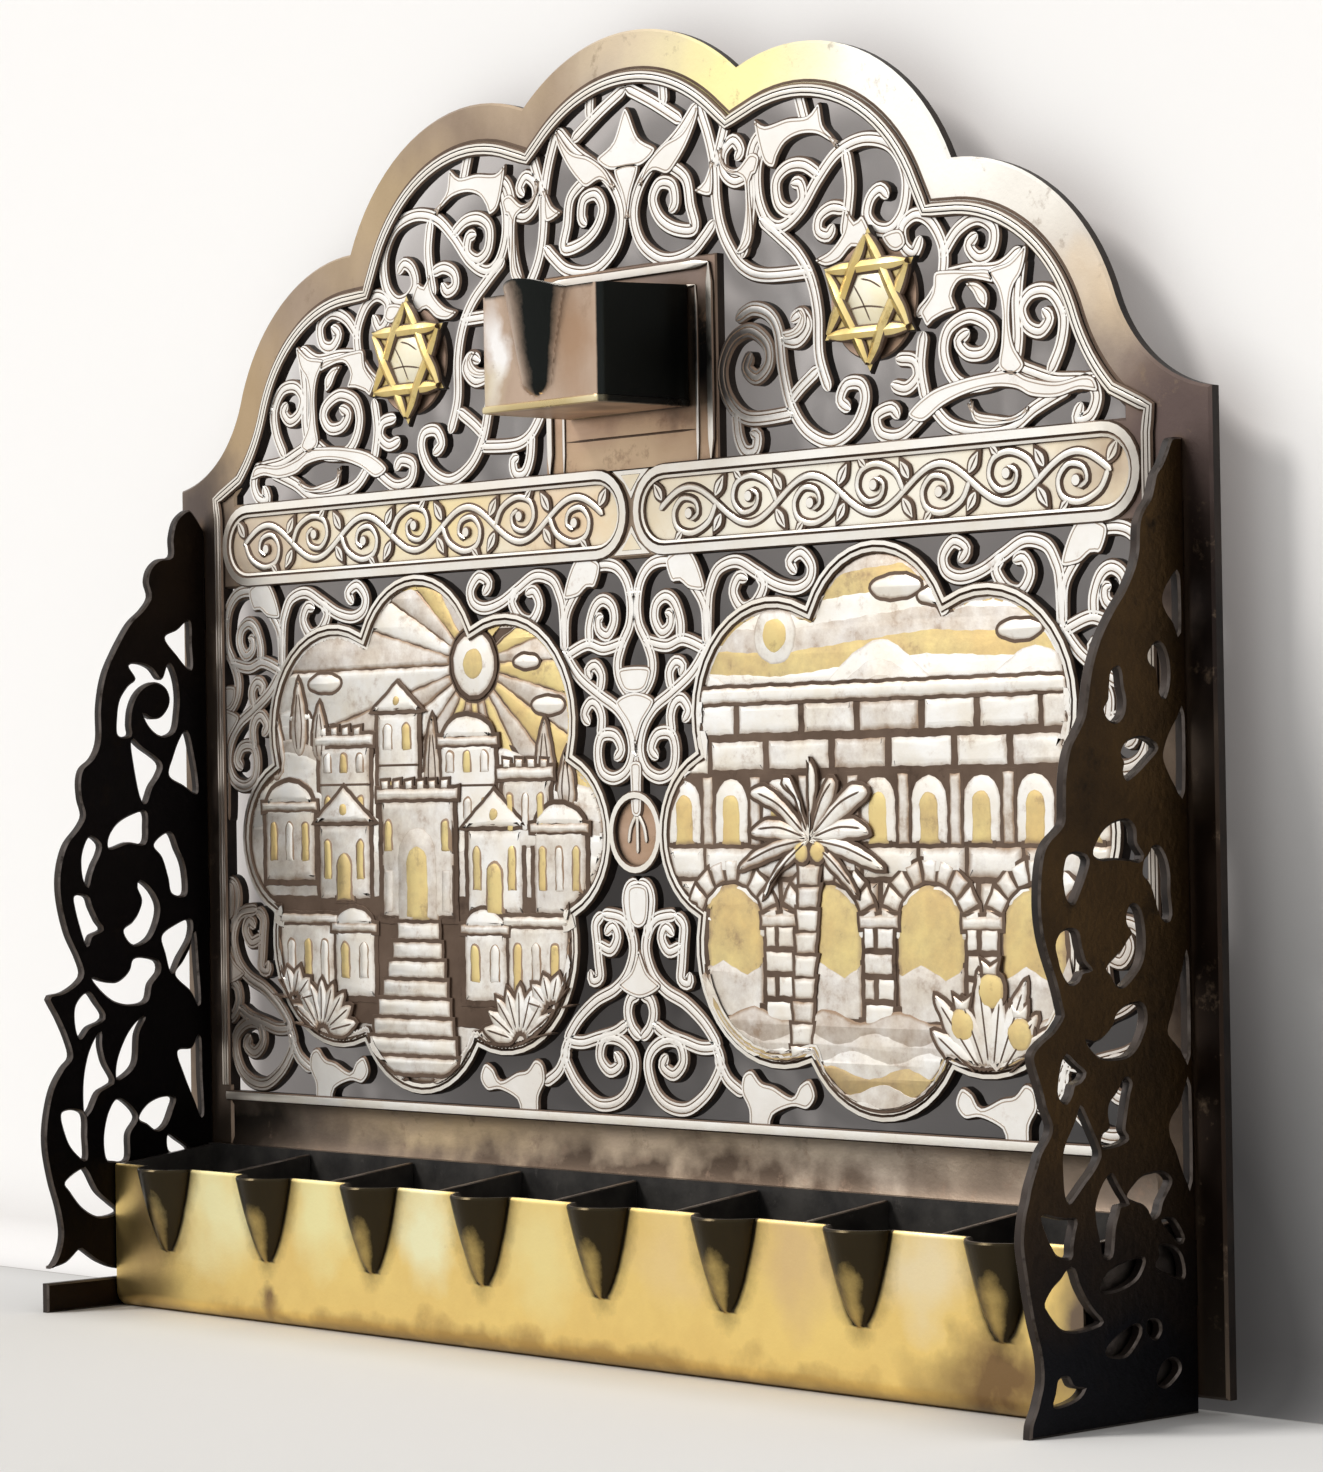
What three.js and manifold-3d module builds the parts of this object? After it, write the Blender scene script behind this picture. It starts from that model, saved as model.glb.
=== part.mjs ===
// A brass bench lamp with eight oil wells: a pierced backplate between two pierced side panels,
// a long trough with eight pinched spouts in front, and a servant cup high on the backplate.
// Millimetres, +Z up, front towards -Y, origin on the ground below the middle of the whole lamp.
// Each piece is drawn with the backplate's front face at y = 0.

import * as THREE from 'three';
import { mergeVertices } from 'three/addons/utils/BufferGeometryUtils.js';
import Module from 'manifold-3d';

const wasm = await Module();
wasm.setup();

// Backplate: outline and thickness
const plateHalf = 115;
const plateBottom = 2;
const plateThick = 1.8;
const shoulderHeight = 137.6;
const crownHeight = 201;

// Points of the crown's outline, from the shoulder corner up to the notch beside the top lobe,
// in shares of plateHalf across and of the crown's height above the shoulder.
const crownShares = {
  corner: [1, 0],
  flareMiddle: [0.9061, 0.0789],
  flareTop: [0.8539, 0.2145],
  lowerLobe: [0.7704, 0.4416],
  sideNotch: [0.5904, 0.5678],
  upperLobe: [0.4565, 0.8297],
  crownNotch: [0.2104, 0.8612],
};

// Backplate: the rim band, and the raised line that runs along its inner side
const rimWidth = 6.2;
const sideBandWidth = 12;
const fieldHalf = plateHalf - sideBandWidth;
const lineWidth = 1.8;
const lineRaise = 0.6;

// Backplate: heights of the bands across it
const lowerFieldBottom = 35;
const bandBottom = 120.2;
const bandTop = 134.3;
const bandGap = 1.2;

// Lobed medallions, one each side of the middle
const medallionShift = 0.4;
const medallionMargin = 4.9;
const medallionX = fieldHalf / 2 + medallionShift;
const medallionZ = 78.3;
const medallionHalfWidth = fieldHalf / 2 - medallionMargin;
const medallionHalfHeight = 42.1;
const frameWidth = 2.1;
const recessDepth = 0.9;
const plaqueThick = 1;
const seatGap = 0.3;

// Six-pointed stars on round pads
const starPlaceShares = [0.4548, 0.3088];
const starX = starPlaceShares[0] * plateHalf;
const starZ = bandTop + starPlaceShares[1] * (crownHeight - bandTop);
const starRadius = 10.6;
const starPadRadius = 10.9;
const starThick = 1.4;
const starBar = 1.7;

// Vine openwork
const vineWidth = 2;
const vineSteps = 3;
const vineTolerance = 0.7;
const curveSteps = 2;
const eyeRadius = 5.8;

// Side panels
const panelThick = 1.7;
const panelInset = 4.9;
const panelDepth = 34.6;
const panelHeight = 134;
const footHeight = 5;
const tenonHeight = 9;
const tenonReach = 1;
const slotClearance = 0.3;

// Trough and its wells
const wellCount = 8;
const troughFront = 20.8;
const troughRim = 23.8;
const troughBack = 26;
const sheetThick = 1.1;
const troughBend = 2.6;
const dividerThick = 1;
const dividerDrop = 0.3;
const dividerCorner = 1.2;
const spoutHalfWidth = 6;
const spoutReach = 4.6;
const spoutTip = 8.6;
const spoutSides = 20;

// Servant cup
const cupHalf = 13.5;
const cupDepth = 18.3;
const cupBottom = 142.4;
const cupWall = 17.7;
const cupRise = 3.6;
const cupSpoutHalf = 5.6;
const cupSpoutReach = 4.2;
const cupSpoutTip = 3.2;
const cupPadHalf = 19.6;
const cupPadTop = 165;
const cupTenonHalf = 4;
const cupTenonHeight = 2.4;

// Overrun of a cutting shape past the face that it cuts
const overrun = 1;

const plateBack = plateThick;
const panelInner = plateHalf - panelInset - panelThick;
const wellPitch = 2 * (panelInner - seatGap - sheetThick) / wellCount;

// Places in the vine tables, in shares of plateHalf / plateHalfShare across,
// and upwards from the foot of each field in shares of its height.
const plateHalfShare = 1.15;
const upperTopShare = 0.66;
const lowerTopShare = 0.852;

const upperVineShares = [
  [[0.16, 0.53], [0.117, 0.49], [0.062, 0.455], [0.027, 0.42], [0.013, 0.38], [0.027, 0.338],
    [0.062, 0.311], [0.1, 0.303], [0.142, 0.311], [0.17, 0.33], [0.194, 0.352]],
  [[0.09, 0.448], [0.13, 0.422], [0.14, 0.38], [0.148, 0.345], [0.108, 0.348], [0.073, 0.367],
    [0.057, 0.397], [0.072, 0.42], [0.1, 0.415], [0.106, 0.388], [0.094, 0.375]],
  [[0.16, 0.53], [0.182, 0.478], [0.194, 0.43], [0.196, 0.385], [0.204, 0.345], [0.222, 0.31],
    [0.252, 0.277], [0.3, 0.26], [0.4, 0.257]],
  [[0.25, 0.29], [0.267, 0.338], [0.272, 0.38], [0.27, 0.422], [0.28, 0.455], [0.302, 0.472]],
  [[0.27, 0.412], [0.238, 0.405], [0.214, 0.422], [0.213, 0.45], [0.235, 0.466], [0.251, 0.45],
    [0.24, 0.436]],
  [[0.556, 0.345], [0.54, 0.36], [0.52, 0.35], [0.512, 0.325], [0.53, 0.305], [0.56, 0.302],
    [0.585, 0.325], [0.593, 0.365], [0.58, 0.4], [0.553, 0.425], [0.505, 0.435], [0.455, 0.423],
    [0.414, 0.39], [0.375, 0.348], [0.335, 0.328], [0.305, 0.34], [0.287, 0.376], [0.286, 0.42],
    [0.302, 0.46]],
  [[0.418, 0.392], [0.385, 0.412], [0.35, 0.413], [0.326, 0.395], [0.33, 0.362], [0.355, 0.348],
    [0.38, 0.362], [0.376, 0.386], [0.357, 0.388]],
  [[0.47, 0.425], [0.478, 0.38], [0.475, 0.345], [0.465, 0.3]],
  [[0.47, 0.338], [0.44, 0.344], [0.415, 0.333], [0.412, 0.313], [0.432, 0.305], [0.445, 0.32]],
  [[0.29, 0.345], [0.335, 0.312], [0.37, 0.283], [0.395, 0.245], [0.408, 0.195], [0.41, 0.133],
    [0.43, 0.08]],
  [[0.235, 0.2], [0.27, 0.213], [0.305, 0.203], [0.325, 0.175], [0.333, 0.12], [0.35, 0.065],
    [0.383, 0.025], [0.433, 0.006], [0.48, 0.025], [0.502, 0.06], [0.495, 0.085], [0.465, 0.087],
    [0.452, 0.065], [0.473, 0.05]],
  [[0.345, 0.07], [0.37, 0.09], [0.41, 0.115]],
  [[0.33, 0.165], [0.365, 0.158], [0.388, 0.178], [0.375, 0.197], [0.352, 0.188]],
  [[0.356, 0.054], [0.26, 0.053], [0.215, 0.085], [0.203, 0.13], [0.225, 0.17], [0.265, 0.182],
    [0.3, 0.16], [0.303, 0.13], [0.278, 0.112], [0.255, 0.128], [0.268, 0.15]],
  [[0.232, 0.07], [0.236, 0.03], [0.25, 0.006], [0.272, 0.006], [0.277, 0.026], [0.262, 0.032]],
  [[0.62, 0.285], [0.605, 0.262], [0.585, 0.275], [0.583, 0.302], [0.61, 0.316], [0.64, 0.302],
    [0.662, 0.265], [0.66, 0.225], [0.64, 0.195], [0.61, 0.172]],
  [[0.658, 0.25], [0.69, 0.285], [0.73, 0.298], [0.76, 0.28], [0.755, 0.25], [0.73, 0.243],
    [0.712, 0.262], [0.73, 0.276]],
  [[0.66, 0.223], [0.71, 0.227], [0.77, 0.225], [0.812, 0.248]],
  [[0.812, 0.24], [0.803, 0.18], [0.803, 0.12], [0.79, 0.085], [0.75, 0.068], [0.7, 0.067],
    [0.672, 0.087], [0.66, 0.12], [0.672, 0.15], [0.71, 0.163], [0.745, 0.15], [0.755, 0.13],
    [0.738, 0.11], [0.707, 0.111], [0.69, 0.13], [0.712, 0.142]],
  [[0.86, 0.07], [0.883, 0.11], [0.888, 0.15], [0.865, 0.182], [0.83, 0.185], [0.81, 0.165],
    [0.82, 0.14], [0.845, 0.13], [0.862, 0.146], [0.85, 0.16]],
  [[0.92, 0.027], [0.91, 0.004], [0.935, 0.008], [0.947, 0.034], [0.93, 0.055], [0.87, 0.062],
    [0.82, 0.078], [0.785, 0.09], [0.745, 0.07], [0.683, 0.061], [0.639, 0.051], [0.608, 0.026],
    [0.57, 0.006], [0.533, 0.012], [0.525, 0.037], [0.555, 0.046], [0.57, 0.03]],
  [[0.633, 0.048], [0.67, 0.014], [0.73, 0], [0.79, 0.003], [0.835, 0.026], [0.9, 0.05]],
  [[0.622, 0.15], [0.614, 0.1], [0.624, 0.05]],
  [[0.565, 0.115], [0.6, 0.11], [0.608, 0.088], [0.585, 0.072], [0.555, 0.08]],
  [[0, 0.574], [0.06, 0.545], [0.125, 0.508]],
  [[0.085, 0.535], [0.082, 0.585]],
  [[0.9, 0.05], [0.945, 0.06]],
  [[0.888, 0.15], [0.915, 0.165]],
  [[0.73, 0.297], [0.75, 0.33]],
  [[0.593, 0.365], [0.62, 0.385]],
  [[0.39, 0.47], [0.37, 0.53]],
  [[0.195, 0.43], [0.222, 0.5]],
];

const upperLeafShares = [
  [[0.192, 0.445], [0.172, 0.415], [0.15, 0.4], [0.19, 0.39]],
  [[0.16, 0.535], [0.105, 0.492], [0.06, 0.455], [0.09, 0.44], [0.115, 0.46]],
  [[0, 0.545], [0.03, 0.497], [0.068, 0.474], [0.04, 0.452], [0, 0.45], [-0.04, 0.452],
    [-0.068, 0.474], [-0.03, 0.497]],
  [[-0.028, 0.455], [0.028, 0.455], [0.012, 0.41], [0, 0.37], [-0.012, 0.41]],
  [[0.29, 0.478], [0.298, 0.508], [0.318, 0.493], [0.355, 0.485], [0.4, 0.488], [0.425, 0.478],
    [0.44, 0.502], [0.456, 0.49], [0.446, 0.465], [0.468, 0.428], [0.445, 0.43], [0.42, 0.452],
    [0.385, 0.46], [0.36, 0.443], [0.34, 0.41], [0.325, 0.41], [0.33, 0.44], [0.3, 0.455]],
  [[0.4, 0.25], [0.43, 0.285], [0.475, 0.3], [0.5, 0.28], [0.475, 0.26], [0.43, 0.25]],
  [[0.61, 0.155], [0.65, 0.205], [0.692, 0.185], [0.682, 0.155], [0.64, 0.148], [0.622, 0.13]],
  [[0.77, 0.215], [0.8, 0.228], [0.823, 0.262], [0.84, 0.252], [0.812, 0.2], [0.79, 0.195]],
  [[0.702, 0.05], [0.715, 0.018], [0.765, 0.012], [0.73, -0.006], [0.695, 0.004]],
];

const lowerVineShares = [
  [[0.161, 0.715], [0.158, 0.769], [0.135, 0.804], [0.099, 0.838], [0.07, 0.846], [0.038, 0.84],
    [0.016, 0.818], [0.007, 0.785], [0.01, 0.752], [0.027, 0.724], [0.039, 0.695], [0.036, 0.67],
    [0.02, 0.65], [0, 0.643]],
  [[0.02, 0.726], [0.07, 0.716], [0.11, 0.724], [0.162, 0.706]],
  [[0.102, 0.722], [0.103, 0.751], [0.09, 0.781], [0.07, 0.791], [0.05, 0.78], [0.046, 0.757],
    [0.061, 0.737], [0.08, 0.745], [0.082, 0.762], [0.07, 0.766]],
  [[0.165, 0.716], [0.129, 0.675], [0.082, 0.645], [0.041, 0.622], [0.016, 0.592], [0.008, 0.557],
    [0.022, 0.528], [0.052, 0.516], [0.08, 0.527], [0.088, 0.557], [0.078, 0.582], [0.048, 0.582],
    [0.034, 0.56], [0.05, 0.545]],
  [[0.082, 0.577], [0.078, 0.61], [0.088, 0.63], [0.104, 0.634], [0.118, 0.616], [0.105, 0.6]],
  [[0.082, 0.648], [0.077, 0.675], [0.091, 0.691], [0.107, 0.684], [0.1, 0.67]],
  [[0, 0.357], [0.02, 0.35], [0.028, 0.33], [0.022, 0.295], [0.018, 0.27]],
  [[0.085, 0.308], [0.041, 0.302], [0.02, 0.281], [0.014, 0.251], [0.029, 0.216], [0.058, 0.192],
    [0.099, 0.175], [0.135, 0.151], [0.158, 0.128], [0.166, 0.112], [0.135, 0.108],
    [0.099, 0.116], [0.058, 0.126], [0.028, 0.142]],
  [[0.08, 0.308], [0.099, 0.293], [0.097, 0.263], [0.094, 0.234], [0.092, 0.21], [0.109, 0.205],
    [0.112, 0.222]],
  [[0.096, 0.262], [0.066, 0.252], [0.05, 0.272], [0.06, 0.289], [0.078, 0.276]],
  [[0, 0.185], [0.021, 0.179], [0.029, 0.158], [0.02, 0.134], [0, 0.118]],
  [[0.164, 0.116], [0.176, 0.086], [0.16, 0.056], [0.135, 0.032], [0.099, 0.014], [0.058, 0.018],
    [0.029, 0.039], [0.015, 0.075], [0.024, 0.1], [0.052, 0.116], [0.085, 0.114], [0.094, 0.086],
    [0.072, 0.066], [0.048, 0.078], [0.06, 0.096]],
  [[0.168, 0.1], [0.19, 0.063], [0.226, 0.042]],
  [[0.161, 0.7], [0.164, 0.775], [0.172, 0.804], [0.19, 0.828], [0.229, 0.836], [0.27, 0.818],
    [0.311, 0.798], [0.352, 0.79], [0.38, 0.8], [0.386, 0.822], [0.365, 0.842], [0.341, 0.83],
    [0.355, 0.812]],
  [[0.27, 0.818], [0.285, 0.798], [0.266, 0.772], [0.238, 0.766], [0.22, 0.79], [0.232, 0.812],
    [0.252, 0.808]],
  [[0.008, 0.557], [-0.005, 0.552]],
  [[0.016, 0.8], [-0.006, 0.8]],
];

const lowerLeafShares = [
  [[0.075, 0.85], [0.13, 0.86], [0.162, 0.8], [0.128, 0.797], [0.105, 0.81], [0.085, 0.812]],
  [[-0.034, 0.686], [0.034, 0.686], [0.034, 0.662], [0.018, 0.646], [-0.018, 0.646],
    [-0.034, 0.662]],
  [[-0.045, 0.634], [0, 0.65], [0.045, 0.634], [0.018, 0.598], [0, 0.565], [-0.018, 0.598]],
  [[-0.013, 0.54], [0.013, 0.54], [0.014, 0.505], [0.011, 0.46], [-0.011, 0.46], [-0.014, 0.505]],
  [[-0.022, 0.35], [0.022, 0.35], [0.022, 0.3], [0, 0.285], [-0.022, 0.3]],
  [[0, 0.255], [0.02, 0.222], [0.05, 0.198], [0, 0.178], [-0.05, 0.198], [-0.02, 0.222]],
  [[0.22, 0.045], [0.225, 0.072], [0.245, 0.08], [0.265, 0.063], [0.29, 0.058], [0.328, 0.044],
    [0.345, 0.062], [0.367, 0.07], [0.38, 0.045], [0.362, 0.024], [0.33, 0.026], [0.29, 0.012],
    [0.28, -0.01], [0.24, -0.01], [0.235, 0.02]],
];

// Points of the medallions' outline, in shares of their half width and half height:
// notch, middle of the lobe, next notch, and so on round the first quarter.
const lobeShares = [
  [[-0.302, 0.79], [0, 1], [0.302, 0.79]],
  [[0.302, 0.79], [0.742, 0.69], [0.82, 0.29]],
  [[0.82, 0.29], [1, 0], [0.82, -0.31]],
  [[0.82, -0.31], [0.735, -0.69], [0.31, -0.81]],
  [[0.31, -0.81], [0, -1], [-0.31, -0.81]],
  [[-0.31, -0.81], [-0.735, -0.69], [-0.82, -0.31]],
  [[-0.82, -0.31], [-1, 0], [-0.82, 0.29]],
  [[-0.82, 0.29], [-0.742, 0.69], [-0.302, 0.79]],
];

// Side panel outline above the foot rail, as shares of the panel's depth and height.
// The first number runs forward from the backplate.
const panelOutlineShares = [
  [1, 0.055], [0.955, 0.072], [0.92, 0.095], [0.915, 0.125], [0.962, 0.166], [1, 0.208],
  [1, 0.249], [0.962, 0.29], [0.885, 0.315], [0.835, 0.332], [0.9, 0.357], [0.98, 0.386],
  [0.957, 0.395], [0.835, 0.402], [0.778, 0.408], [0.79, 0.428], [0.867, 0.456], [0.915, 0.49],
  [0.915, 0.523], [0.885, 0.555], [0.818, 0.589], [0.772, 0.622], [0.778, 0.655], [0.74, 0.68],
  [0.673, 0.692], [0.647, 0.713], [0.642, 0.754], [0.595, 0.788], [0.515, 0.821], [0.402, 0.863],
  [0.358, 0.895], [0.353, 0.92], [0.29, 0.937], [0.195, 0.939], [0.178, 0.97], [0.127, 0.993],
  [0.09, 1], [0.045, 0.987], [0, 0.96],
];

const panelOpeningShares = [
  [[0.27, 0.837], [0.112, 0.86], [0.105, 0.795]],
  [[0.47, 0.812], [0.37, 0.815], [0.28, 0.8], [0.34, 0.778], [0.42, 0.785]],
  [[0.45, 0.775], [0.545, 0.745], [0.53, 0.71], [0.46, 0.712], [0.43, 0.745]],
  [[0.27, 0.788], [0.19, 0.77], [0.175, 0.735], [0.27, 0.71], [0.375, 0.733], [0.26, 0.738],
    [0.225, 0.76]],
  [[0.465, 0.705], [0.295, 0.685], [0.385, 0.632], [0.435, 0.67]],
  [[0.125, 0.715], [0.095, 0.705], [0.08, 0.634], [0.225, 0.66]],
  [[0.77, 0.588], [0.705, 0.58], [0.675, 0.555], [0.755, 0.527]],
  [[0.61, 0.575], [0.5, 0.612], [0.38, 0.612], [0.385, 0.582], [0.51, 0.58]],
  [[0.338, 0.58], [0.225, 0.592], [0.16, 0.547], [0.145, 0.514], [0.225, 0.514]],
  [[0.425, 0.527], [0.352, 0.514], [0.352, 0.48], [0.465, 0.456], [0.515, 0.477], [0.43, 0.493]],
  [[0.815, 0.514], [0.74, 0.498], [0.672, 0.473], [0.77, 0.456]],
  [[0.37, 0.464], [0.27, 0.481], [0.112, 0.473], [0.16, 0.448], [0.24, 0.419], [0.29, 0.431]],
  [[0.105, 0.462], [0.045, 0.455], [0.045, 0.37], [0.11, 0.374], [0.225, 0.41]],
  [[0.705, 0.406], [0.545, 0.406], [0.483, 0.431], [0.34, 0.427], [0.352, 0.382],
    [0.545, 0.378]],
  [[0.77, 0.392], [0.66, 0.36], [0.8, 0.336], [0.832, 0.369]],
  [[0.415, 0.357], [0.4, 0.331], [0.483, 0.299], [0.577, 0.274], [0.56, 0.315]],
  [[0.672, 0.328], [0.626, 0.299], [0.64, 0.274], [0.785, 0.257], [0.77, 0.299]],
  [[0.225, 0.311], [0.1, 0.325], [0.045, 0.345], [0.035, 0.235], [0.1, 0.25]],
  [[0.56, 0.257], [0.465, 0.237], [0.545, 0.216], [0.513, 0.183], [0.626, 0.191],
    [0.658, 0.228]],
  [[0.45, 0.232], [0.24, 0.257], [0.29, 0.216], [0.4, 0.228]],
  [[0.897, 0.245], [0.77, 0.24], [0.77, 0.187], [0.865, 0.199]],
  [[0.897, 0.166], [0.77, 0.166], [0.626, 0.125], [0.672, 0.116], [0.817, 0.125]],
  [[0.56, 0.14], [0.4, 0.135], [0.33, 0.152], [0.42, 0.168], [0.51, 0.16]],
  [[0.24, 0.15], [0.14, 0.17], [0.1, 0.145], [0.16, 0.128]],
  [[0.5, 0.108], [0.4, 0.085], [0.33, 0.1], [0.42, 0.118]],
  [[0.28, 0.055], [0.06, 0.055], [0.06, 0.075], [0.17, 0.09]],
];

const panelGapShares = [
  [1.1, 0.037], [0.35, 0.037], [0.42, 0.065], [0.68, 0.083], [0.9, 0.07], [0.94, 0.056],
  [1.1, 0.05],
];

const tenonHeightShares = [0.14, 0.5, 0.88];

const brass = {
  rim: { color: 0xb8a184, roughness: 0.42, metalness: 0.9 },
  panel: { color: 0x3a2e26, roughness: 0.6, metalness: 0.8 },
  trough: { color: 0xd9b75a, roughness: 0.34, metalness: 0.95 },
  soot: { color: 0x4a4744, roughness: 0.75, metalness: 0.6 },
  cup: { color: 0xb0957c, roughness: 0.45, metalness: 0.9 },
  star: { color: 0xd8bb55, roughness: 0.35, metalness: 0.95 },
  plaque: { color: 0xd5cbb8, roughness: 0.4, metalness: 0.9 },
  gilt: { color: 0xd9bd7c, roughness: 0.42, metalness: 0.9 },
};

function solidOf(geometry) {
  const bare = geometry.index ? geometry.toNonIndexed() : geometry;
  bare.deleteAttribute('normal');
  bare.deleteAttribute('uv');
  const merged = mergeVertices(bare);
  return new wasm.Manifold(new wasm.Mesh({
    numProp: 3,
    vertProperties: new Float32Array(merged.attributes.position.array),
    triVerts: new Uint32Array(merged.index.array),
  }));
}

function geometryOf(solid) {
  const mesh = solid.getMesh();
  const geometry = new THREE.BufferGeometry();
  geometry.setAttribute('position', new THREE.BufferAttribute(mesh.vertProperties, 3));
  geometry.setIndex(new THREE.BufferAttribute(mesh.triVerts, 1));
  geometry.computeVertexNormals();
  return geometry;
}

function joined(solids) {
  return solids.reduce((whole, next) => whole.add(next));
}

function named(name, geometry, finish) {
  const mesh = new THREE.Mesh(geometry, new THREE.MeshStandardMaterial(finish));
  mesh.name = name;
  return mesh;
}

// A flat outline, drawn across and upwards, standing between two depths from the plate's front.
function slab(shape, front, back) {
  const geometry = new THREE.ExtrudeGeometry(shape, {
    depth: back - front, bevelEnabled: false, curveSegments: curveSteps,
  });
  geometry.rotateX(Math.PI / 2);
  geometry.translate(0, back, 0);
  return geometry;
}

function block(width, depth, height, x, y, z) {
  const geometry = new THREE.BoxGeometry(width, depth, height);
  geometry.translate(x, y, z);
  return geometry;
}

function outlineShape(points) {
  return new THREE.Shape(points.map(([x, z]) => new THREE.Vector2(x, z)));
}

// Points along the arc from a to b through m, without b.
function arcThrough(a, m, b, steps) {
  const d = 2 * (a[0] * (m[1] - b[1]) + m[0] * (b[1] - a[1]) + b[0] * (a[1] - m[1]));
  const sq = (p) => p[0] * p[0] + p[1] * p[1];
  const cx = (sq(a) * (m[1] - b[1]) + sq(m) * (b[1] - a[1]) + sq(b) * (a[1] - m[1])) / d;
  const cz = (sq(a) * (b[0] - m[0]) + sq(m) * (a[0] - b[0]) + sq(b) * (m[0] - a[0])) / d;
  const radius = Math.hypot(a[0] - cx, a[1] - cz);
  const angle = (p) => Math.atan2(p[1] - cz, p[0] - cx);
  const turn = (from, to, sign) => {
    const full = 2 * Math.PI;
    return sign * ((((to - from) * sign) % full + full) % full);
  };
  const cross = (m[0] - a[0]) * (b[1] - a[1]) - (m[1] - a[1]) * (b[0] - a[0]);
  const sweep = turn(angle(a), angle(b), cross < 0 ? -1 : 1);
  const points = [];
  for (let i = 0; i < steps; i += 1) {
    const t = angle(a) + sweep * i / steps;
    points.push([cx + radius * Math.cos(t), cz + radius * Math.sin(t)]);
  }
  return points;
}

function mirrored(points) {
  return points.map(([x, z]) => [-x, z]).reverse();
}

// The outline moved inwards by a constant distance, for a closed list that runs clockwise.
function inset(points, distance) {
  const count = points.length;
  return points.map((point, i) => {
    const before = points[(i + count - 1) % count];
    const after = points[(i + 1) % count];
    const n1 = new THREE.Vector2(point[1] - before[1], before[0] - point[0]).normalize();
    const n2 = new THREE.Vector2(after[1] - point[1], point[0] - after[0]).normalize();
    const mean = n1.clone().add(n2).normalize();
    const reach = distance / Math.max(mean.dot(n1), Math.SQRT1_2);
    return [point[0] + mean.x * reach, point[1] + mean.y * reach];
  });
}

// Whether a closed outline never crosses itself.
function isSimple(points) {
  const count = points.length;
  const turn = (a, b, c) => (b[0] - a[0]) * (c[1] - a[1]) - (b[1] - a[1]) * (c[0] - a[0]);
  for (let i = 0; i < count; i += 1) {
    for (let k = i + 2; k < count; k += 1) {
      const [a, b] = [points[i], points[(i + 1) % count]];
      const [c, d] = [points[k], points[(k + 1) % count]];
      const apart = (k + 1) % count === i;
      if (!apart && turn(a, b, c) * turn(a, b, d) < 0 && turn(c, d, a) * turn(c, d, b) < 0) {
        return false;
      }
    }
  }
  return true;
}

// Corners put in order round their middle.
function roundMiddle(corners) {
  const mx = corners.reduce((sum, [x]) => sum + x, 0) / corners.length;
  const mz = corners.reduce((sum, [, z]) => sum + z, 0) / corners.length;
  const angle = ([x, z]) => Math.atan2(z - mz, x - mx);
  return [...corners].sort((a, b) => angle(a) - angle(b));
}

// The fewest stations along a curve whose straight lengths keep within vineTolerance of it.
function bendStations(curve, count) {
  const kept = [0];
  let from = 0;
  for (let to = 2; to <= count; to += 1) {
    const chord = new THREE.Line3(curve.getPoint(from / count), curve.getPoint(to / count));
    let worst = 0;
    for (let i = from; i < to; i += 1) {
      const place = curve.getPoint(i / count);
      const nearest = chord.closestPointToPoint(place, true, new THREE.Vector3());
      worst = Math.max(worst, place.distanceTo(nearest));
    }
    if (worst > vineTolerance) {
      from = to - 1;
      kept.push(from / count);
    }
  }
  return [...kept, 1];
}

function bandOutline(stations) {
  return [
    ...stations.map((station) => station[0]),
    ...stations.map((station) => station[1]).reverse(),
  ];
}

// A band of even width along an open line of points. Where its outline would cross itself,
// as in a tight curl, a new length starts at the last station.
function stroke(points, width, front, back) {
  const curve = new THREE.CatmullRomCurve3(points.map(([x, z]) => new THREE.Vector3(x, z, 0)));
  const stations = bendStations(curve, (points.length - 1) * vineSteps).map((t) => {
    const place = curve.getPoint(t);
    const along = curve.getTangent(t);
    const side = [-along.y * width / 2, along.x * width / 2];
    return [
      [place.x + side[0], place.y + side[1]],
      [place.x - side[0], place.y - side[1]],
    ];
  });
  const lengths = [];
  let run = [stations[0]];
  stations.slice(1).forEach((station) => {
    if (run.length > 1 && !isSimple(bandOutline([...run, station]))) {
      lengths.push(bandOutline(run));
      run = [run[run.length - 1]];
    }
    run.push(station);
    if (run.length === 2 && !isSimple(bandOutline(run))) {
      lengths.push(roundMiddle(run.flat()));
      run = [station];
    }
  });
  if (run.length > 1) lengths.push(bandOutline(run));
  return lengths.map((outline) => solidOf(slab(outlineShape(outline), front, back)));
}

// Half of the crown's outline, from the shoulder corner up to the top, on the right-hand side.
function crownHalf(steps) {
  const place = ([x, z]) => [
    x * plateHalf,
    shoulderHeight + z * (crownHeight - shoulderHeight),
  ];
  const { corner, flareMiddle, flareTop, lowerLobe, sideNotch, upperLobe, crownNotch } = crownShares;
  const arc = (a, m, b) => arcThrough(place(a), place(m), place(b), steps);
  const notch = place(crownNotch);
  return [
    ...arc(corner, flareMiddle, flareTop),
    ...arc(flareTop, lowerLobe, sideNotch),
    ...arc(sideNotch, upperLobe, crownNotch),
    ...arcThrough(notch, [0, crownHeight], mirrored([notch])[0], 2 * steps).slice(0, steps + 1),
  ];
}

// The whole plate, clockwise from its lower left corner.
function plateOutline() {
  const steps = 3 * curveSteps;
  const right = crownHalf(steps).reverse();
  const left = mirrored(right.slice(1));
  return [[-plateHalf, plateBottom], ...left, ...right, [plateHalf, plateBottom]];
}

function upperPlace([x, z]) {
  const across = plateHalf / plateHalfShare;
  const upwards = (crownHeight - bandTop) / upperTopShare;
  return [x * across, bandTop + z * upwards];
}

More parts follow.
